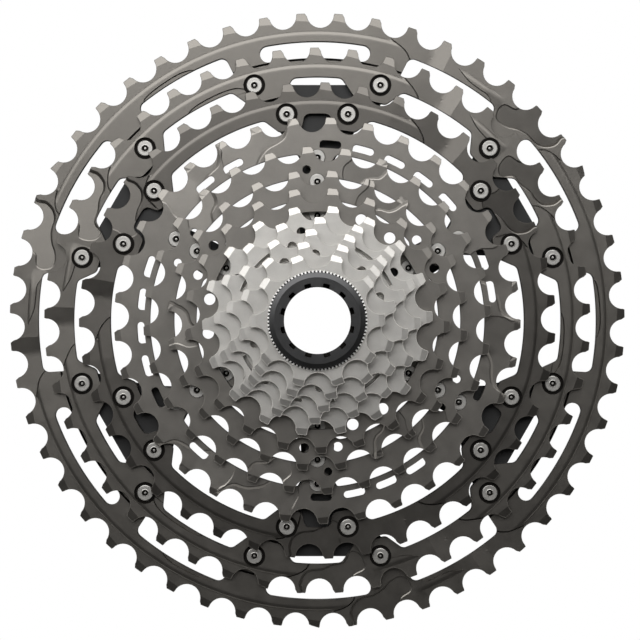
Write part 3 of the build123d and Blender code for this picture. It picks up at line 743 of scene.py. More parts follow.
END_45 = ((143.3, 87.0), (145.0, 86.0), (146.8, 84.4), (147.9, 82.4), (148.6, 78.0))
START_45 = ((64.8, 78.0), (65.6, 82.2), (67.5, 84.6), (70.3, 87.0))
rim_45 = raised_rim(FOOT_45, 72.0, END_45, START_45)
pocket_45 = scoop(((26.6, 94.0), (26.2, 91.6), (25.9, 88.8), (26.8, 85.4), (28.6, 83.8),
                   (31.0, 83.5), (33.6, 82.2), (36.2, 81.7), (37.8, 78.6), (40.0, 79.4),
                   (41.0, 82.6), (40.7, 85.4), (38.2, 86.9), (37.9, 89.4), (37.9, 94.0)),
                  POCKET_DEPTH, (41.0, 84.0), 0.052, POCKET_WALL)
strip_45 = np.concatenate([arc(FOOT_45, 42.2, 53.0), through(points_at(
    ((53.6, 86.4), (52.0, 85.2), (50.2, 84.2), (47.6, 83.7),
     (45.2, 83.4), (43.4, 81.0), (42.4, 80.0), (42.0, 84.6))))])
sliver_45 = np.concatenate([arc(80.4, 123.0, 106.8), through(points_at(
    ((107.6, 82.0), (109.4, 83.0), (112.0, 83.4), (115.6, 83.4),
     (119.2, 83.2), (121.4, 82.6), (122.6, 81.4))))])


def sprocket_45():
    holes = [inner_line(45, WINDOW_45, (5.7, 9.4, 17.6, 20.6), pitch_radius(45) - 14.8, 2.2)]
    gate = np.add.outer(np.array([0, 15, 30]), np.array([3, 4, 5, 6, 7, 8])).ravel()
    reliefs = [*rims(rim_45, FOOT_45), *pocket_45, *strips(strip_45, FOOT_45, 42.2),
               *thirds(sliver_45, -SLIVER_DEPTH, SLIVER_WALL), *creases(END_45, START_45),
               *ramp(57.0, 60.6, 76.0, 74.0, 95.0, 0.5)]
    return big_sprocket(45, holes, reliefs, OUTER_RIVETS, gate, (2, 17, 32), FOOT_45)


RIVET_SEAT_RADIUS = 3.68
RIVET_SEAT_FLOOR = 1.5              # above the plate's back


def big_sprocket(teeth, holes, reliefs, rivets, gate, short, foot):
    """A raised-rim plate whose rivet heads stand in round seats with a level floor."""
    shape = toothed(teeth, short)
    outline = tidy(shape.reshape(-1, 2))
    fall, lines = tip_slope(teeth, shape, 3.1, 2.3, 0.8, gate)
    base = BACK[teeth]
    edges = [circle(RIVET_SEAT_RADIUS + 0.02, place, 40) for place in rivets]
    floors = [circle(RIVET_SEAT_RADIUS - 0.02, place, 40) for place in rivets]

    def top(points):
        rise = sum(relief.height(points) for relief in reliefs)
        height = base + THICKNESS + fall(points) + rise
        nearest = np.linalg.norm(points[:, None] - rivets[None], axis=2).min(1)
        return np.where(nearest < RIVET_SEAT_RADIUS, base + RIVET_SEAT_FLOOR, height)

    name = "sprocket_%dt_plate" % teeth
    piece = plate(name, outline, holes, top, level(base), reliefs,
                  lines + edges + floors + crown_lines(foot))
    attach(piece, "cassette")
    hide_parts("sprocket_%dt" % teeth)
    return piece


# %% 39 teeth
WINDOW_39 = root_radius(39) - 5.7
END_39 = ((139.2, 74.5), (141.2, 73.6), (143.2, 72.0), (144.4, 69.8), (145.0, 66.0))
START_39 = ((58.4, 66.0), (59.2, 69.6), (61.6, 72.4), (65.0, 74.6))
rim_39 = raised_rim(FOOT_39, 60.0, END_39, START_39)
pocket_39 = scoop(((23.6, 81.6), (23.0, 79.0), (22.6, 76.2), (23.4, 72.8), (25.6, 70.9),
                   (28.6, 70.3), (31.0, 69.2), (33.0, 67.0), (35.6, 67.8), (36.4, 71.0),
                   (36.0, 73.6), (36.2, 77.0), (36.2, 81.6)),
                  POCKET_DEPTH, (36.6, 72.0), 0.056, POCKET_WALL)


def sprocket_39():
    holes = [inner_line(39, WINDOW_39, (3.6, 4.6, 11.4, 15.0), pitch_radius(39) - 14.6, 2.2)]
    gate = np.add.outer(np.array([0, 13, 26]), np.array([2, 3, 4, 5, 6])).ravel()
    reliefs = [*rims(rim_39, FOOT_39), *pocket_39, *creases(END_39, START_39),
               *ramp(49.4, 53.6, 70.0, 60.0, 83.0, 0.5)]
    return big_sprocket(39, holes, reliefs, MIDDLE_RIVETS, gate, (1, 14, 27), FOOT_39)


big_three = [sprocket_51(), sprocket_45(), sprocket_39()]

# %% [markdown]
# ## The titanium plates
#
# The next four plates are punched from sheet, so they are as thick at the rim as at the teeth.
# What they have is slots or holes, shallow scooped ramps, and a tongue for a rivet on each arm.

# %% 33, 28, 24 and 21 teeth
TONGUE_INSET = {33: 12.4, 28: 10.62, 24: 13.95}
RIM_WALL = {33: 7.1, 28: 5.3, 24: 4.8}


def tongue_line(teeth):
    """Inner outline with one tongue on each arm."""
    window = root_radius(teeth) - RIM_WALL[teeth]
    inner = pitch_radius(teeth) - TONGUE_INSET[teeth] - 3.6
    spread = np.degrees(np.arcsin(6.2 / window))
    points, radii = [], []
    for arm in ARMS:
        tongue = np.array([polar(arm - spread, window), polar(arm, inner, -3.6),
                           polar(arm, inner, 3.6), polar(arm + spread, window)])
        between = arc(window, arm + spread, arm + 60.0 - spread)[1:-1]
        points += [tongue, between]
        radii += [np.array([2.0, 2.6, 2.6, 2.0]), np.zeros(len(between))]
    return rounded(np.concatenate(points), np.concatenate(radii))


def slot_33(middle):
    """One rounded slot, 2.4 mm wide."""
    outer = root_radius(33) - 2.75
    loop = np.concatenate([arc(outer, middle - 3.48, middle + 3.48),
                           arc(outer - 2.4, middle + 3.48, middle - 3.48)])
    radii = np.zeros(len(loop))
    half = len(loop) // 2
    radii[[0, half - 1, half, len(loop) - 1]] = 1.15
    return rounded(loop, radii)


def tongue_places(teeth):
    """Where the rivets of a thin plate stand, one on each tongue."""
    return polar(ARMS, pitch_radius(teeth) - TONGUE_INSET[teeth])


THIN_SEAT_RADIUS = 2.68
THIN_SEAT_FLOOR = 0.8         # above the plate's back


def thin_sprocket(teeth, holes, pockets):
    """A flat plate with scooped pockets and sunk rivet seats."""
    places = tongue_places(teeth) if teeth in TONGUE_INSET else np.zeros((0, 2))
    shape = toothed(teeth)
    outline = tidy(shape.reshape(-1, 2))
    fall, lines = tip_slope(teeth, shape, 1.9, 1.9, 0.42 if teeth > 18 else 0.25)
    reliefs = [relief for pocket in pockets for relief in pocket]
    base = BACK[teeth]
    rings = [circle(radius, place, 36) for place in places
             for radius in (THIN_SEAT_RADIUS + 0.02, THIN_SEAT_RADIUS - 0.02)]

    def top(points):
        rise = sum(relief.height(points) for relief in reliefs)
        height = base + THICKNESS + np.maximum(fall(points) + rise, -0.9)
        if len(places) == 0:
            return height
        nearest = np.linalg.norm(points[:, None] - places[None], axis=2).min(1)
        return np.where(nearest < THIN_SEAT_RADIUS, base + THIN_SEAT_FLOOR, height)

    name = "sprocket_%dt_plate" % teeth
    piece = plate(name, outline, holes, top, level(base), reliefs, lines + rings)
    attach(piece, "cassette")
    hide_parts("sprocket_%dt" % teeth)
    return piece


def scooped(places, turns, hinge, grade=0.04, deepest=0.55):
    """One scooped ramp of a thin plate at several turns."""
    return scoop(places, deepest, hinge, grade, 0.8, turns)


CLIMB_33 = ((98.3, 69.5), (98.6, 65.0), (99.8, 61.8), (102.5, 60.2), (106.0, 59.2), (109.0, 57.2),
            (113.0, 54.0), (119.0, 54.0), (121.5, 58.0), (121.0, 62.5), (119.8, 65.0), (119.0, 69.5))
CATCH_33 = ((240.2, 69.5), (240.4, 64.5), (242.5, 61.0), (247.0, 60.0), (251.5, 57.6), (255.0, 54.2),
            (262.0, 54.0), (264.0, 58.5), (262.5, 63.5), (261.5, 69.5))
CLIMB_28 = ((64.0, 59.5), (64.5, 54.5), (66.0, 51.2), (70.0, 49.6), (73.5, 46.5),
            (79.0, 46.5), (80.5, 51.5), (78.0, 55.0), (77.0, 59.5))
CLIMB_24 = ((8.0, 51.5), (8.5, 46.0), (11.0, 42.8), (16.0, 41.4), (19.0, 38.5),
            (26.0, 38.8), (27.0, 43.0), (24.5, 47.0), (23.5, 51.5))
SLOTTED_33 = (0, 1, 3, 4, 5, 6, 7, 10, 11, 14, 15, 16, 17, 18, 20, 24, 25, 26, 27, 30)


def round_holes(teeth, radius, inset, angles, count=28):
    """Round holes at an inset from the tooth roots."""
    return [circle(radius, polar(angle, root_radius(teeth) - inset), count) for angle in angles]


slots = [slot_33(9.4 + 360 / 33 * tooth) for tooth in SLOTTED_33]
holes_28 = round_holes(28, 1.35, 2.6, (94.1, 144.5, 157.5, 274.1, 325.0, 337.2))
holes_24 = round_holes(24, 1.6, 2.5, (24.1, 39.0, 144.1, 159.1, 264.1, 279.2))
holes_21 = round_holes(21, 1.9, 2.6, (48.8, 66.5, 168.8, 186.5, 288.8, 306.5), 30)
BORE_RADIUS = 13.9


def splined_bore(radius=BORE_RADIUS, grooves=23, depth=0.7, width=0.8):
    """The bore with square grooves: a circle whose radius steps out where a groove is cut."""
    half = np.degrees(width / 2 / radius)
    middle = np.arange(grooves) * 360.0 / grooves
    corners = middle[:, None] + np.array([-half, -half, half, half])
    radii = np.tile([radius, radius + depth, radius + depth, radius], (grooves, 1))
    land = middle[:, None] + half + (360.0 / grooves - 2 * half) * np.array([0.25, 0.5, 0.75])
    angle = np.concatenate([corners, land], axis=1).ravel()
    return polar(angle, np.concatenate([radii, np.full((grooves, 3), radius)], axis=1).ravel())


def web_window(arm):
    """An opening in the 21-tooth web where it passes a rivet."""
    outer = pitch_radius(24) - TONGUE_INSET[24] + 1.0
    loop = np.concatenate([arc(outer, arm - 11, arm + 11), arc(BORE_RADIUS + 8.4, arm + 11, arm - 11)])
    radii = np.zeros(len(loop))
    first = len(arc(outer, arm - 11, arm + 11))
    radii[[0, first - 1, first, len(loop) - 1]] = 1.7
    return rounded(loop, radii)


titanium = [
    thin_sprocket(33, [tongue_line(33), *slots],
                  [scooped(CLIMB_33, THIRDS, (122.0, 60.0)), scooped(CATCH_33, THIRDS, (264.0, 60.0))]),
    thin_sprocket(28, [tongue_line(28), *holes_28],
                  [scooped(CLIMB_28, (0.0, 64.3, 180.0, 244.3), (80.5, 51.0))]),
    thin_sprocket(24, [tongue_line(24), *holes_24],
                  [scooped(CLIMB_24, (45.0, 165.0, 285.0), (27.0, 43.0))]),
    thin_sprocket(21, [splined_bore(), *holes_21, *[web_window(arm) for arm in ARMS]], [])]

# %% [markdown]
# ## The small bright plates
#
# From 18 teeth down the plates are solid nickel-plated steel and slide on the splines one by
# one. The 10-tooth plate has a smooth bore for the lock ring's sleeve, and a collar behind it.

# %% 18 down to 10 teeth
SLEEVE_BORE = 13.35


def collar():
    """The collar behind the smallest plate, as a turned ring."""
    low = BACK[12] + THICKNESS
    return ring_piece("sprocket_10t_collar", 16.28, SLEEVE_BORE, low, BACK[10])


def ring_piece(name, outer, inner, low, high):
    piece = plate(name, circle(outer, count=96), [circle(inner, count=96)], level(high), level(low))
    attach(piece, "cassette")
    return piece


UNDERCUTS = {18: (32.4, 100.2, 152.4, 220.2), 16: (66.0, 108.7, 228.7, 348.7),
             14: (20.8, 48.2, 92.0, 119.6, 200.0, 272.0), 12: ()}
ARC_SLOTS = {18: (), 16: (32.4, 55.0, 132.5, 152.0, 212.4, 252.0, 275.0, 312.4), 14: (), 12: ()}


def undercuts(teeth):
    """Small round holes and narrow arc slots that show in the tooth spaces of the plate in front."""
    front = {18: 16, 16: 14, 14: 12, 12: 10}[teeth]
    slot_radius = root_radius(front) + 2.2
    holes = [circle(1.5, polar(angle, root_radius(front) + 0.75), 28) for angle in UNDERCUTS[teeth]]
    for middle in ARC_SLOTS[teeth]:
        loop = np.concatenate([arc(slot_radius, middle - 7.0, middle + 7.0, 0.6),
                               arc(slot_radius - 1.0, middle + 7.0, middle - 7.0, 0.6)])
        holes.append(loop)
    return holes


small = [thin_sprocket(teeth, [splined_bore(), *undercuts(teeth)], []) for teeth in (18, 16, 14, 12)]
small.append(thin_sprocket(10, [circle(SLEEVE_BORE, count=96)], []))
small_collar = collar()
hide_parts("sprocket_10t")

# %% [markdown]
# ## Spacers and spiders
#
# These are mostly hidden, so they keep the design's own shape with a broken edge all round: a
# copy of the node's mesh is joined into one skin first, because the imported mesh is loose
# triangles, and the Bevel modifier then rounds what is sharper than 30 degrees.

# %% Bevelled copies of plain nodes


def bevelled(node, body, width=0.25):
    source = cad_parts[node]
    mesh = source.data.copy()
    piece = bpy.data.objects.new(node + "_finished", mesh)
    bpy.context.scene.collection.objects.link(piece)
    mesh.materials.clear()
    points = np.empty(len(mesh.vertices) * 3, np.float32)
    mesh.vertices.foreach_get("co", points)
    weld = piece.modifiers.new("weld", "WELD")
    weld.merge_threshold = 1e-5
    flatten = piece.modifiers.new("flatten", "DECIMATE")
    flatten.decimate_type = "DISSOLVE"
    flatten.angle_limit = np.radians(0.5)
    bevel = piece.modifiers.new("edge", "BEVEL")
    bevel.width = width * MM
    bevel.segments = 2
    bevel.limit_method = "ANGLE"
    bevel.angle_limit = np.radians(30)
    bevel.harden_normals = True
    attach(piece, body)
    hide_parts(node)
    return piece


spacers = [bevelled("spacer_" + between, "cassette") for between in ("21_18", "18_16", "16_14", "14_12")]
spiders = [bevelled(node, "cassette", 0.4) for node in ("outer_spider", "inner_spider")]

# %% [markdown]
# ## Rivets
#
# A rivet is a turned shape: a profile of radius and height carried round its own axis. One
# profile makes a flat head with a deep socket, the shank and the closed tail, and the same
# mesh is set down at every place at once.

# %% Turned rivets, all of a group in one mesh


def wrapped(rows, sides):
    """Faces between rows of points, closed both round the axis and round the profile."""
    row = np.arange(rows)[:, None] * sides
    above = (np.arange(rows)[:, None] + 1) % rows * sides
    this = np.arange(sides)
    following = (this + 1) % sides
    return np.stack([row + this, row + following, above + following, above + this], -1).reshape(-1, 4)


def set_down(name, one, faces, places, sharp):
    """The same points and faces at every place, joined in one mesh."""
    shift = np.column_stack([places, np.zeros(len(places))])
    points = (one[None] + shift[:, None]).reshape(-1, 3)
    step = (np.arange(len(places)) * len(one))[:, None, None]
    copied = [(group[None] + step).reshape(-1, group.shape[1]) for group in faces]
    piece = make_mesh(name, points, copied, sharp)
    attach(piece, "cassette")
    return piece


def turned_group(name, profile, places, sides=28):
    """Profile (radius, height) turned about each place. The profile starts and ends on the axis."""
    profile = np.asarray(profile, float)
    ring = profile[1:-1]
    angle = np.arange(sides) * 2 * np.pi / sides
    x = ring[:, 0, None] * np.cos(angle)
    y = ring[:, 0, None] * np.sin(angle)
    z = np.broadcast_to(ring[:, 1, None], x.shape)
    around = np.stack([x, y, z], -1).reshape(-1, 3)
    one = np.concatenate([[[0, 0, profile[0, 1]]], around, [[0, 0, profile[-1, 1]]]])
    row = np.arange(len(ring) - 1)[:, None] * sides
    this = 1 + np.arange(sides)
    following = 1 + (np.arange(sides) + 1) % sides
    quads = np.stack([this + row, following + row, following + row + sides, this + row + sides],
                     -1).reshape(-1, 4)
    last = len(one) - 1
    end = (len(ring) - 1) * sides
    caps = np.concatenate([np.stack([np.zeros(sides, int), following, this], 1),
                           np.stack([np.full(sides, last), this + end, following + end], 1)])
    return set_down(name, one, [quads, caps], places, 8.0)


def rivet_profile(tail_low, tail_high, seat):
    """Profile of a rivet from its closed tail up to the bottom of its socket."""
    top = seat + 0.95
    return [(0, tail_low), (2.2, tail_low), (2.5, tail_low + 0.25), (2.5, tail_high), (1.7, tail_high),
            (1.7, seat), (2.65, seat), (2.65, top - 0.25), (2.55, top - 0.12), (2.4, top - 0.04),
            (1.3, top - 0.04), (1.18, top), (1.06, top - 0.1), (1.0, top - 0.7), (0.5, top - 0.74),
            (0.34, top - 0.42), (0, top - 0.38)]


def rivets(node, places):
    low, high = node_heights(node)
    seat = high - 0.95
    piece = turned_group(node + "_turned", rivet_profile(low, low + 0.7, seat), places)
    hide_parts(node)
    return piece


def painted_shade_ring(name, places, inner, outer, height):
    """Thin near-black rings of painted shade, for the seat round a rivet head and for the floor of its
    socket.
    """
    profile = [(inner, height), (outer, height), (outer, height + 0.06), (inner, height + 0.06)]
    return ring_group(name, profile, places)


def ring_group(name, profile, places, sides=32):
    """A closed (radius, height) profile turned about each place."""
    profile = np.asarray(profile, float)
    angle = np.arange(sides) * 2 * np.pi / sides
    x = profile[:, 0, None] * np.cos(angle)
    y = profile[:, 0, None] * np.sin(angle)
    one = np.stack([x, y, np.broadcast_to(profile[:, 1, None], x.shape)], -1).reshape(-1, 3)
    return set_down(name, one, [wrapped(len(profile), sides)], places, 28.0)


SOCKET_DEPTH = 0.72


def painted_shade_socket(name, node, places):
    """Painted shade: a near-black ring on the floor of a rivet group's sockets."""
    return painted_shade_ring(name, places, 0.42, 0.99, node_heights(node)[1] - SOCKET_DEPTH)


# Near-black rings in the rivet seats and on the socket floors: painted shade in these hollows.
seats = [painted_shade_ring("rivet_seat_shade_45t", OUTER_RIVETS, 1.75, 3.64, BACK[45] + RIVET_SEAT_FLOOR),
         painted_shade_ring("rivet_seat_shade_39t", MIDDLE_RIVETS, 1.75, 3.64, BACK[39] + RIVET_SEAT_FLOOR),
         painted_shade_socket("rivet_sockets_45t", "rivets_51t_45t", OUTER_RIVETS),
         painted_shade_socket("rivet_sockets_39t", "rivets_39t", MIDDLE_RIVETS)]
seats += [painted_shade_socket("rivet_sockets_%dt" % teeth, "rivets_%dt" % teeth, tongue_places(teeth))
          for teeth in (33, 28, 24)]
all_rivets = [rivets("rivets_51t_45t", OUTER_RIVETS), rivets("rivets_39t", MIDDLE_RIVETS)]
all_rivets += [rivets("rivets_%dt" % teeth, tongue_places(teeth)) for teeth in (33, 28, 24)]

# %% [markdown]
# ## Lock ring and washer
#
# The lock ring is the dark disc in the middle: a flat face with a bevelled edge, twelve notches
# for the tool, and a threaded sleeve that reaches into the freehub body. Its thread is a real
# helix here. The washer under it shows only its serrated edge.

# %% Lock ring face
RING_LOW, RING_TOP = node_heights("lock_ring")[1] - 2.0, node_heights("lock_ring")[1]


def notch_line():
    """The hole with twelve notches: the radius steps from 10.8 to 12.1 mm."""
    middle = 15.5 + 30.0 * np.arange(12)
    corners = middle[:, None] + np.array([-5.35, -5.35, 5.35, 5.35])
    step = np.tile([10.8, 12.1, 12.1, 10.8], (12, 1))
    land = middle[:, None] + 5.35 + 19.3 * np.array([0.2, 0.4, 0.6, 0.8])
    points = polar(np.concatenate([corners, land], 1).ravel(),
                   np.concatenate([step, np.full((12, 4), 10.8)], 1).ravel())
    radii = np.tile([0.25, 0.35, 0.35, 0.25, 0, 0, 0, 0], 12)
    return rounded(points, radii, 4)


def ring_top(points):
    """Flat to 13.8 mm, then a straight slope of one in four to the edge."""
    radius = np.linalg.norm(points, axis=1)
    return RING_TOP - np.maximum(radius - 13.8, 0) * 0.25


turned_lines = [circle(13.8, count=120)]
ring_face = plate("lock_ring_face", circle(15.4, count=120), [notch_line()], ring_top, level(RING_LOW),
                  extra_lines=turned_lines, edge=0.1)
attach(ring_face, "lock_ring")
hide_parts("lock_ring")

# %% Threaded sleeve with blind notches
THREAD_PITCH = 1.0
THREAD_DEPTH = 0.35
THREAD_RADIUS = 13.0
NOTCH_LENGTH = 8.0
NOTCH_RADIUS = 12.1
HOLE_RADIUS = 10.8


def sleeve():
    """A tube whose outside is a helix and whose inside has twelve blind notches.

    Going once round lifts the thread by its pitch, so the radius falls by a triangle wave of
    height minus pitch times the angle in turns. It fades out at both ends of the thread. Inside,
    the radius is NOTCH_RADIUS in a notch and HOLE_RADIUS elsewhere and below the notches.
    A thin lining goes on up through the face; sleeve and lining get a near-black material, which paints
    the shade inside the notches.
    """
    low = node_heights("lock_ring")[0]
    edges = (15.5 + 30.0 * np.arange(12))[:, None] + np.array([-5.37, -5.33, 5.33, 5.37])
    degrees = np.sort(np.concatenate([np.arange(0, 360, 3.0) + 0.7, edges.ravel()]))
    angle = np.radians(degrees)
    height = np.linspace(low, RING_LOW - 0.02, 74)
    wave = (height[:, None] - low) / THREAD_PITCH - angle[None] / (2 * np.pi)
    triangle = np.abs(2 * (wave % 1.0) - 1)
    fade = np.clip((height - low) / 0.5, 0, 1) * np.clip((low + 6.4 - height) / 0.5, 0, 1)
    outside = THREAD_RADIUS - THREAD_DEPTH * triangle * fade[:, None]
    in_notch = np.abs((degrees - 0.5) % 30.0 - 15.0) < 5.35
    notched = np.where(in_notch, NOTCH_RADIUS, HOLE_RADIUS)
    plain = np.full(len(angle), HOLE_RADIUS)
    floor = RING_TOP - NOTCH_LENGTH
    # The lining is near-black painted shade on the notch walls.
    lining = notched - 0.03
    lining_top = RING_TOP - 0.1
    radius = np.concatenate([outside, [notched + 0.2, notched + 0.2, lining, lining, plain, plain]])
    levels = np.concatenate([height, [RING_LOW - 0.01, lining_top, lining_top, floor, floor - 0.05, low]])
    turns = len(angle)
    grid = np.stack([radius * np.cos(angle), radius * np.sin(angle),
                     np.broadcast_to(levels[:, None], radius.shape)], -1)
    return make_mesh("lock_ring_sleeve", grid.reshape(-1, 3), [wrapped(len(grid), turns)], 35.0)


ring_sleeve = sleeve()
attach(ring_sleeve, "lock_ring")

# %% Serrated washer


WASHER_TEETH = 84


def serrated(radius=16.1, teeth=WASHER_TEETH, depth=0.3):
    """A circle with fine teeth: between two teeth the radius dips by depth, twice per tooth."""
    number = np.arange(teeth * 4)
    dip = np.array([0.0, 0.15, 1.0, 0.85])[number % 4] * depth
    return polar(number * 90.0 / teeth, radius - dip)


washer_low, washer_high = node_heights("lock_washer")
washer = plate("lock_washer_serrated", serrated(), [circle(13.1, count=96)],
               level(washer_high), level(washer_low), edge=0.08)
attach(washer, "lock_washer")
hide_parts("lock_washer")

# %% [markdown]
# ## Finishes
#
# Hard-anodised alloy, blasted titanium, satin nickel, black and charcoal anodising, and steel
# cover the object. The 39-tooth plate gets a darker copy of the alloy, which is painted shade; a
# near-black material paints the shade in the rivet seats, the rivet sockets and the lock ring's
# notches; and the washer's teeth carry painted highlights with painted shade between them. All of
# them are metal with a fine blasted grain, so the grain is one node group with its own numbers in
# each material. It puts out a colour, a roughness and a height; the shader stays in the material.

# %% The blasted grain group


FINE_GRAIN = 5200.0           # noise cells per metre
COARSE_GRAIN = 160.0
GRAIN_RELIEF = 0.00004        # metres


def grain_group():
    group = bpy.data.node_groups.new("blasted_grain", "ShaderNodeTree")
    face = group.interface
    for name, kind, value in (("Base", "NodeSocketColor", (0.2, 0.2, 0.2, 1)),
                              ("Scale", "NodeSocketFloat", 1.0),
                              ("Mottle", "NodeSocketFloat", 0.1), ("Rough", "NodeSocketFloat", 0.4),
                              ("Rough spread", "NodeSocketFloat", 0.08)):
        socket = face.new_socket(name=name, in_out="INPUT", socket_type=kind)
        socket.default_value = value
    for name, kind in (("Color", "NodeSocketColor"), ("Roughness", "NodeSocketFloat"),
                       ("Height", "NodeSocketFloat")):
        face.new_socket(name=name, in_out="OUTPUT", socket_type=kind)
    nodes, links = group.nodes, group.links
    entry = nodes.new("NodeGroupInput")
    leave = nodes.new("NodeGroupOutput")
    where = nodes.new("ShaderNodeTexCoord")
    fine = nodes.new("ShaderNodeTexNoise")
    coarse = nodes.new("ShaderNodeTexNoise")
    fine.inputs["Detail"].default_value = 3.0
    coarse.inputs["Detail"].default_value = 4.0
    coarse.inputs["Roughness"].default_value = 0.65
    scale_fine = nodes.new("ShaderNodeMath")
    scale_fine.operation = "MULTIPLY"
    scale_fine.inputs[1].default_value = FINE_GRAIN
    scale_coarse = nodes.new("ShaderNodeMath")
    scale_coarse.operation = "MULTIPLY"
    scale_coarse.inputs[1].default_value = COARSE_GRAIN
    links.new(entry.outputs["Scale"], scale_fine.inputs[0])
    links.new(entry.outputs["Scale"], scale_coarse.inputs[0])
    for noise, scale in ((fine, scale_fine), (coarse, scale_coarse)):
        links.new(where.outputs["Object"], noise.inputs["Vector"])
        links.new(scale.outputs[0], noise.inputs["Scale"])
    both = nodes.new("ShaderNodeMath")
    both.operation = "ADD"
    links.new(fine.outputs["Fac"], both.inputs[0])
    links.new(coarse.outputs["Fac"], both.inputs[1])
    centred = nodes.new("ShaderNodeMath")
    centred.operation = "SUBTRACT"
    links.new(both.outputs[0], centred.inputs[0])
    centred.inputs[1].default_value = 1.0
    tone = nodes.new("ShaderNodeMath")
    tone.operation = "MULTIPLY_ADD"
    links.new(centred.outputs[0], tone.inputs[0])
    links.new(entry.outputs["Mottle"], tone.inputs[1])
    tone.inputs[2].default_value = 1.0
    shade = nodes.new("ShaderNodeVectorMath")
    shade.operation = "SCALE"
    links.new(entry.outputs["Base"], shade.inputs[0])
    links.new(tone.outputs[0], shade.inputs["Scale"])
    rough = nodes.new("ShaderNodeMath")
    rough.operation = "MULTIPLY_ADD"
    links.new(centred.outputs[0], rough.inputs[0])
    links.new(entry.outputs["Rough spread"], rough.inputs[1])
    links.new(entry.outputs["Rough"], rough.inputs[2])
    links.new(shade.outputs[0], leave.inputs["Color"])
    links.new(rough.outputs[0], leave.inputs["Roughness"])
    links.new(fine.outputs["Fac"], leave.inputs["Height"])
    return group


GRAIN = grain_group()

# %% One function for every metal


def metal(name, color, rough, mottle=0.25, spread=0.12, bump=0.12):
    """A blasted or brushed metal. The shader's own constants are set on the shader."""
    material = bpy.data.materials.new(name)
    material.use_nodes = True
    nodes, links = material.node_tree.nodes, material.node_tree.links
    shader = nodes["Principled BSDF"]
    grain = nodes.new("ShaderNodeGroup")
    grain.node_tree = GRAIN
    grain.inputs["Base"].default_value = (*color, 1.0)
    grain.inputs["Scale"].default_value = 1.0
    grain.inputs["Mottle"].default_value = mottle
    grain.inputs["Rough"].default_value = rough
    grain.inputs["Rough spread"].default_value = spread
    relief = nodes.new("ShaderNodeBump")
    relief.inputs["Strength"].default_value = bump
    relief.inputs["Distance"].default_value = GRAIN_RELIEF
    links.new(grain.outputs["Color"], shader.inputs["Base Color"])
    links.new(grain.outputs["Roughness"], shader.inputs["Roughness"])
    links.new(grain.outputs["Height"], relief.inputs["Height"])
    links.new(relief.outputs["Normal"], shader.inputs["Normal"])
    shader.inputs["Metallic"].default_value = 1.0
    return material


dark_alloy = metal("dark_anodised_alloy", (0.155, 0.146, 0.133), 0.36)
# A darker copy of the same alloy for the 39-tooth plate: painted shade.
shaded_alloy_copy = metal("anodised_alloy_painted_shade", (0.112, 0.105, 0.096), 0.36)
titanium_grey = metal("blasted_titanium", (0.205, 0.194, 0.178), 0.36)
nickel = metal("satin_nickel", (0.56, 0.545, 0.517), 0.37)
black = metal("black_anodised", (0.042, 0.042, 0.042), 0.5)
charcoal = metal("charcoal_anodised", (0.066, 0.066, 0.067), 0.36)
# Near-black painted shade for the rivet seats, the sockets and the lock ring's sleeve and notches.
shade_black = metal("painted_shade_black", (0.012, 0.011, 0.010), 0.55)
bright_steel = metal("bright_rivet_steel", (0.44, 0.43, 0.41), 0.4)


def glint_mask_group():
    """A mask that is 1 on the washer's teeth, which get a painted highlight, and 0 between them, which
    get painted shade.

    The angle about the axis, counted in teeth, goes through a sine; above nought is a tooth.
    """
    group = bpy.data.node_groups.new("washer_glint_mask", "ShaderNodeTree")
    group.interface.new_socket(name="Mask", in_out="OUTPUT", socket_type="NodeSocketFloat")
    nodes, links = group.nodes, group.links
    leave = nodes.new("NodeGroupOutput")
    where = nodes.new("ShaderNodeTexCoord")
    parts = nodes.new("ShaderNodeSeparateXYZ")
    links.new(where.outputs["Object"], parts.inputs[0])
    steps = []
    for operation, value in (("ARCTAN2", None), ("MULTIPLY", float(WASHER_TEETH)),
                             ("SINE", None), ("GREATER_THAN", 0.0)):
        step = nodes.new("ShaderNodeMath")
        step.operation = operation
        if value is not None:
            step.inputs[1].default_value = value
        if steps:
            links.new(steps[-1].outputs[0], step.inputs[0])
        steps.append(step)
    links.new(parts.outputs["Y"], steps[0].inputs[0])
    links.new(parts.outputs["X"], steps[0].inputs[1])
    links.new(steps[-1].outputs[0], leave.inputs["Mask"])
    return group


def glints_and_shade_metal(name):
    """Painted highlights on the teeth and painted shade in the gaps: the mask scales the near-white
    colour down to black between teeth.
    """
    # The near-white colour is the painted highlight on each tooth.
    material = metal(name, (0.95, 0.94, 0.92), 0.5)
    nodes, links = material.node_tree.nodes, material.node_tree.links
    shader = nodes["Principled BSDF"]
    mask = nodes.new("ShaderNodeGroup")
    mask.node_tree = glint_mask_group()
    pick = nodes.new("ShaderNodeVectorMath")
    pick.operation = "SCALE"
    links.new(shader.inputs["Base Color"].links[0].from_socket, pick.inputs[0])
    links.new(mask.outputs["Mask"], pick.inputs["Scale"])
    links.new(pick.outputs[0], shader.inputs["Base Color"])
    return material


# The washer's teeth get painted highlights and its gaps get painted shade.
washer_painted_glints = glints_and_shade_metal("washer_steel_painted_glints")


def dress(pieces, material):
    """Gives pieces a material."""
    for piece in pieces:
        piece.data.materials.clear()
        piece.data.materials.append(material)


dress(big_three[:2], dark_alloy)
# The 39-tooth plate gets the darker copy of the alloy, which is painted shade.
dress(big_three[2:], shaded_alloy_copy)
dress(titanium, titanium_grey)
dress(small + [small_collar], nickel)
dress(spacers, black)
dress(spiders, black)
dress(all_rivets, bright_steel)
# Painted shade in the rivet seats and sockets.
dress(seats, shade_black)
dress([ring_face], charcoal)
# The sleeve and its lining are near-black: painted shade in the notches.
dress([ring_sleeve], shade_black)
dress([washer], washer_painted_glints)

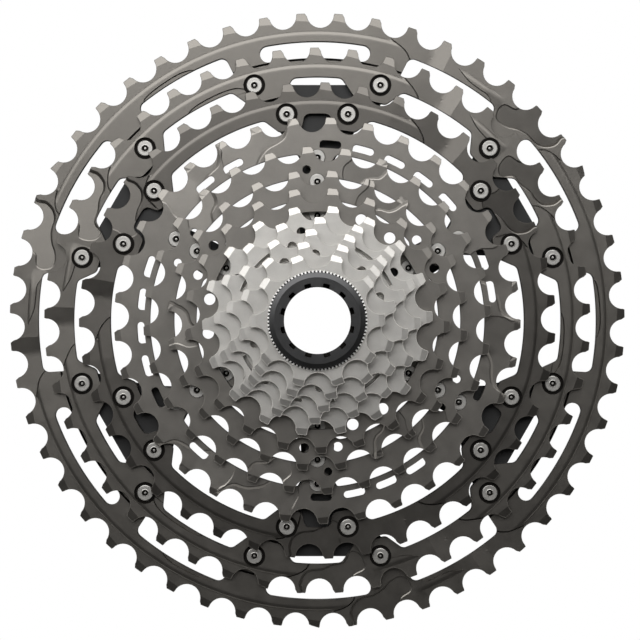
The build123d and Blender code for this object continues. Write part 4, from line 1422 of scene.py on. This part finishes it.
# %% [markdown]
# ## Studio
#
# A flat metal face seen square on mirrors what is behind the camera. So the picture is lit by
# one large soft panel above the camera and to one side: faces near it mirror its edge and look
# light, and faces on the far side mirror the dim ceiling. The walls are lighter than the
# ceiling, so that the stack isn't black from the side. The floor is pale and lies under the
# plates; the camera sees it as plain white, and the metal mirrors it as grey.

# %% Floor, lights and camera


def area_light(name, place, aim, size, power):
    data = bpy.data.lights.new(name, "AREA")
    data.shape = "RECTANGLE"
    data.size, data.size_y = size
    data.energy = power
    lamp = bpy.data.objects.new(name, data)
    lamp.location = place
    lamp.rotation_euler = (Vector(aim) - Vector(place)).to_track_quat("-Z", "Y").to_euler()
    bpy.context.scene.collection.objects.link(lamp)


FLOOR_REACH = 6.0
FLOOR_DROP = 0.0004           # clear of the lowest plate


def studio_floor():
    mesh = bpy.data.meshes.new("floor")
    far = FLOOR_REACH
    low = cad_box[0].z - FLOOR_DROP
    mesh.from_pydata([(-far, -far, low), (far, -far, low), (far, far, low), (-far, far, low)],
                     [], [(0, 1, 2, 3)])
    floor = bpy.data.objects.new("floor", mesh)
    bpy.context.scene.collection.objects.link(floor)
    material = bpy.data.materials.new("pale_floor")
    material.use_nodes = True
    nodes, links = material.node_tree.nodes, material.node_tree.links
    shader = nodes["Principled BSDF"]
    shader.inputs["Base Color"].default_value = (0.35, 0.35, 0.35, 1)
    shader.inputs["Roughness"].default_value = 0.9
    glow = nodes.new("ShaderNodeEmission")
    glow.inputs["Color"].default_value = (1, 1, 1, 1)
    glow.inputs["Strength"].default_value = 1.0
    mix = nodes.new("ShaderNodeMixShader")
    path = nodes.new("ShaderNodeLightPath")
    links.new(path.outputs["Is Camera Ray"], mix.inputs["Fac"])
    links.new(shader.outputs[0], mix.inputs[1])
    links.new(glow.outputs[0], mix.inputs[2])
    links.new(mix.outputs[0], nodes["Material Output"].inputs["Surface"])
    mesh.materials.append(material)


studio_floor()
area_light("key", (-0.183, 0.861, 1.213), (0, 0, 0), (1.7, 1.34), 27)


WALL_TOP = 0.42               # sine of the elevation where the walls end
WALL_LIGHT = 2.2
CEILING_LIGHT = 0.08


def room():
    """A dim ceiling over pale walls: the light rises toward the horizon.

    The height of a direction, the sine of its elevation, runs from 1 overhead to 0 level.
    """
    world = bpy.data.worlds.new("room")
    world.use_nodes = True
    nodes, links = world.node_tree.nodes, world.node_tree.links
    where = nodes.new("ShaderNodeTexCoord")
    parts = nodes.new("ShaderNodeSeparateXYZ")
    fade = nodes.new("ShaderNodeMapRange")
    fade.inputs["From Min"].default_value = WALL_TOP
    fade.inputs["From Max"].default_value = 0.0
    fade.inputs["To Min"].default_value = CEILING_LIGHT
    fade.inputs["To Max"].default_value = WALL_LIGHT
    links.new(where.outputs["Generated"], parts.inputs[0])
    links.new(parts.outputs["Z"], fade.inputs["Value"])
    links.new(fade.outputs["Result"], nodes["Background"].inputs["Strength"])
    nodes["Background"].inputs["Color"].default_value = (1, 0.99, 0.97, 1)
    bpy.context.scene.world = world


room()
bpy.context.scene.view_settings.view_transform = "Standard"

CAMERA_HEIGHT = 0.7017                     # above the back plane
camera_data = bpy.data.cameras.new("camera")
camera_data.lens = 116.2
camera_data.sensor_width = 36.0
camera_data.shift_x = 0.0041
camera_data.shift_y = 0.0009
camera = bpy.data.objects.new("camera", camera_data)
camera.location = (0, 0, CAMERA_HEIGHT)
camera.rotation_euler = (0, 0, 0)
bpy.context.scene.collection.objects.link(camera)
bpy.context.scene.camera = camera
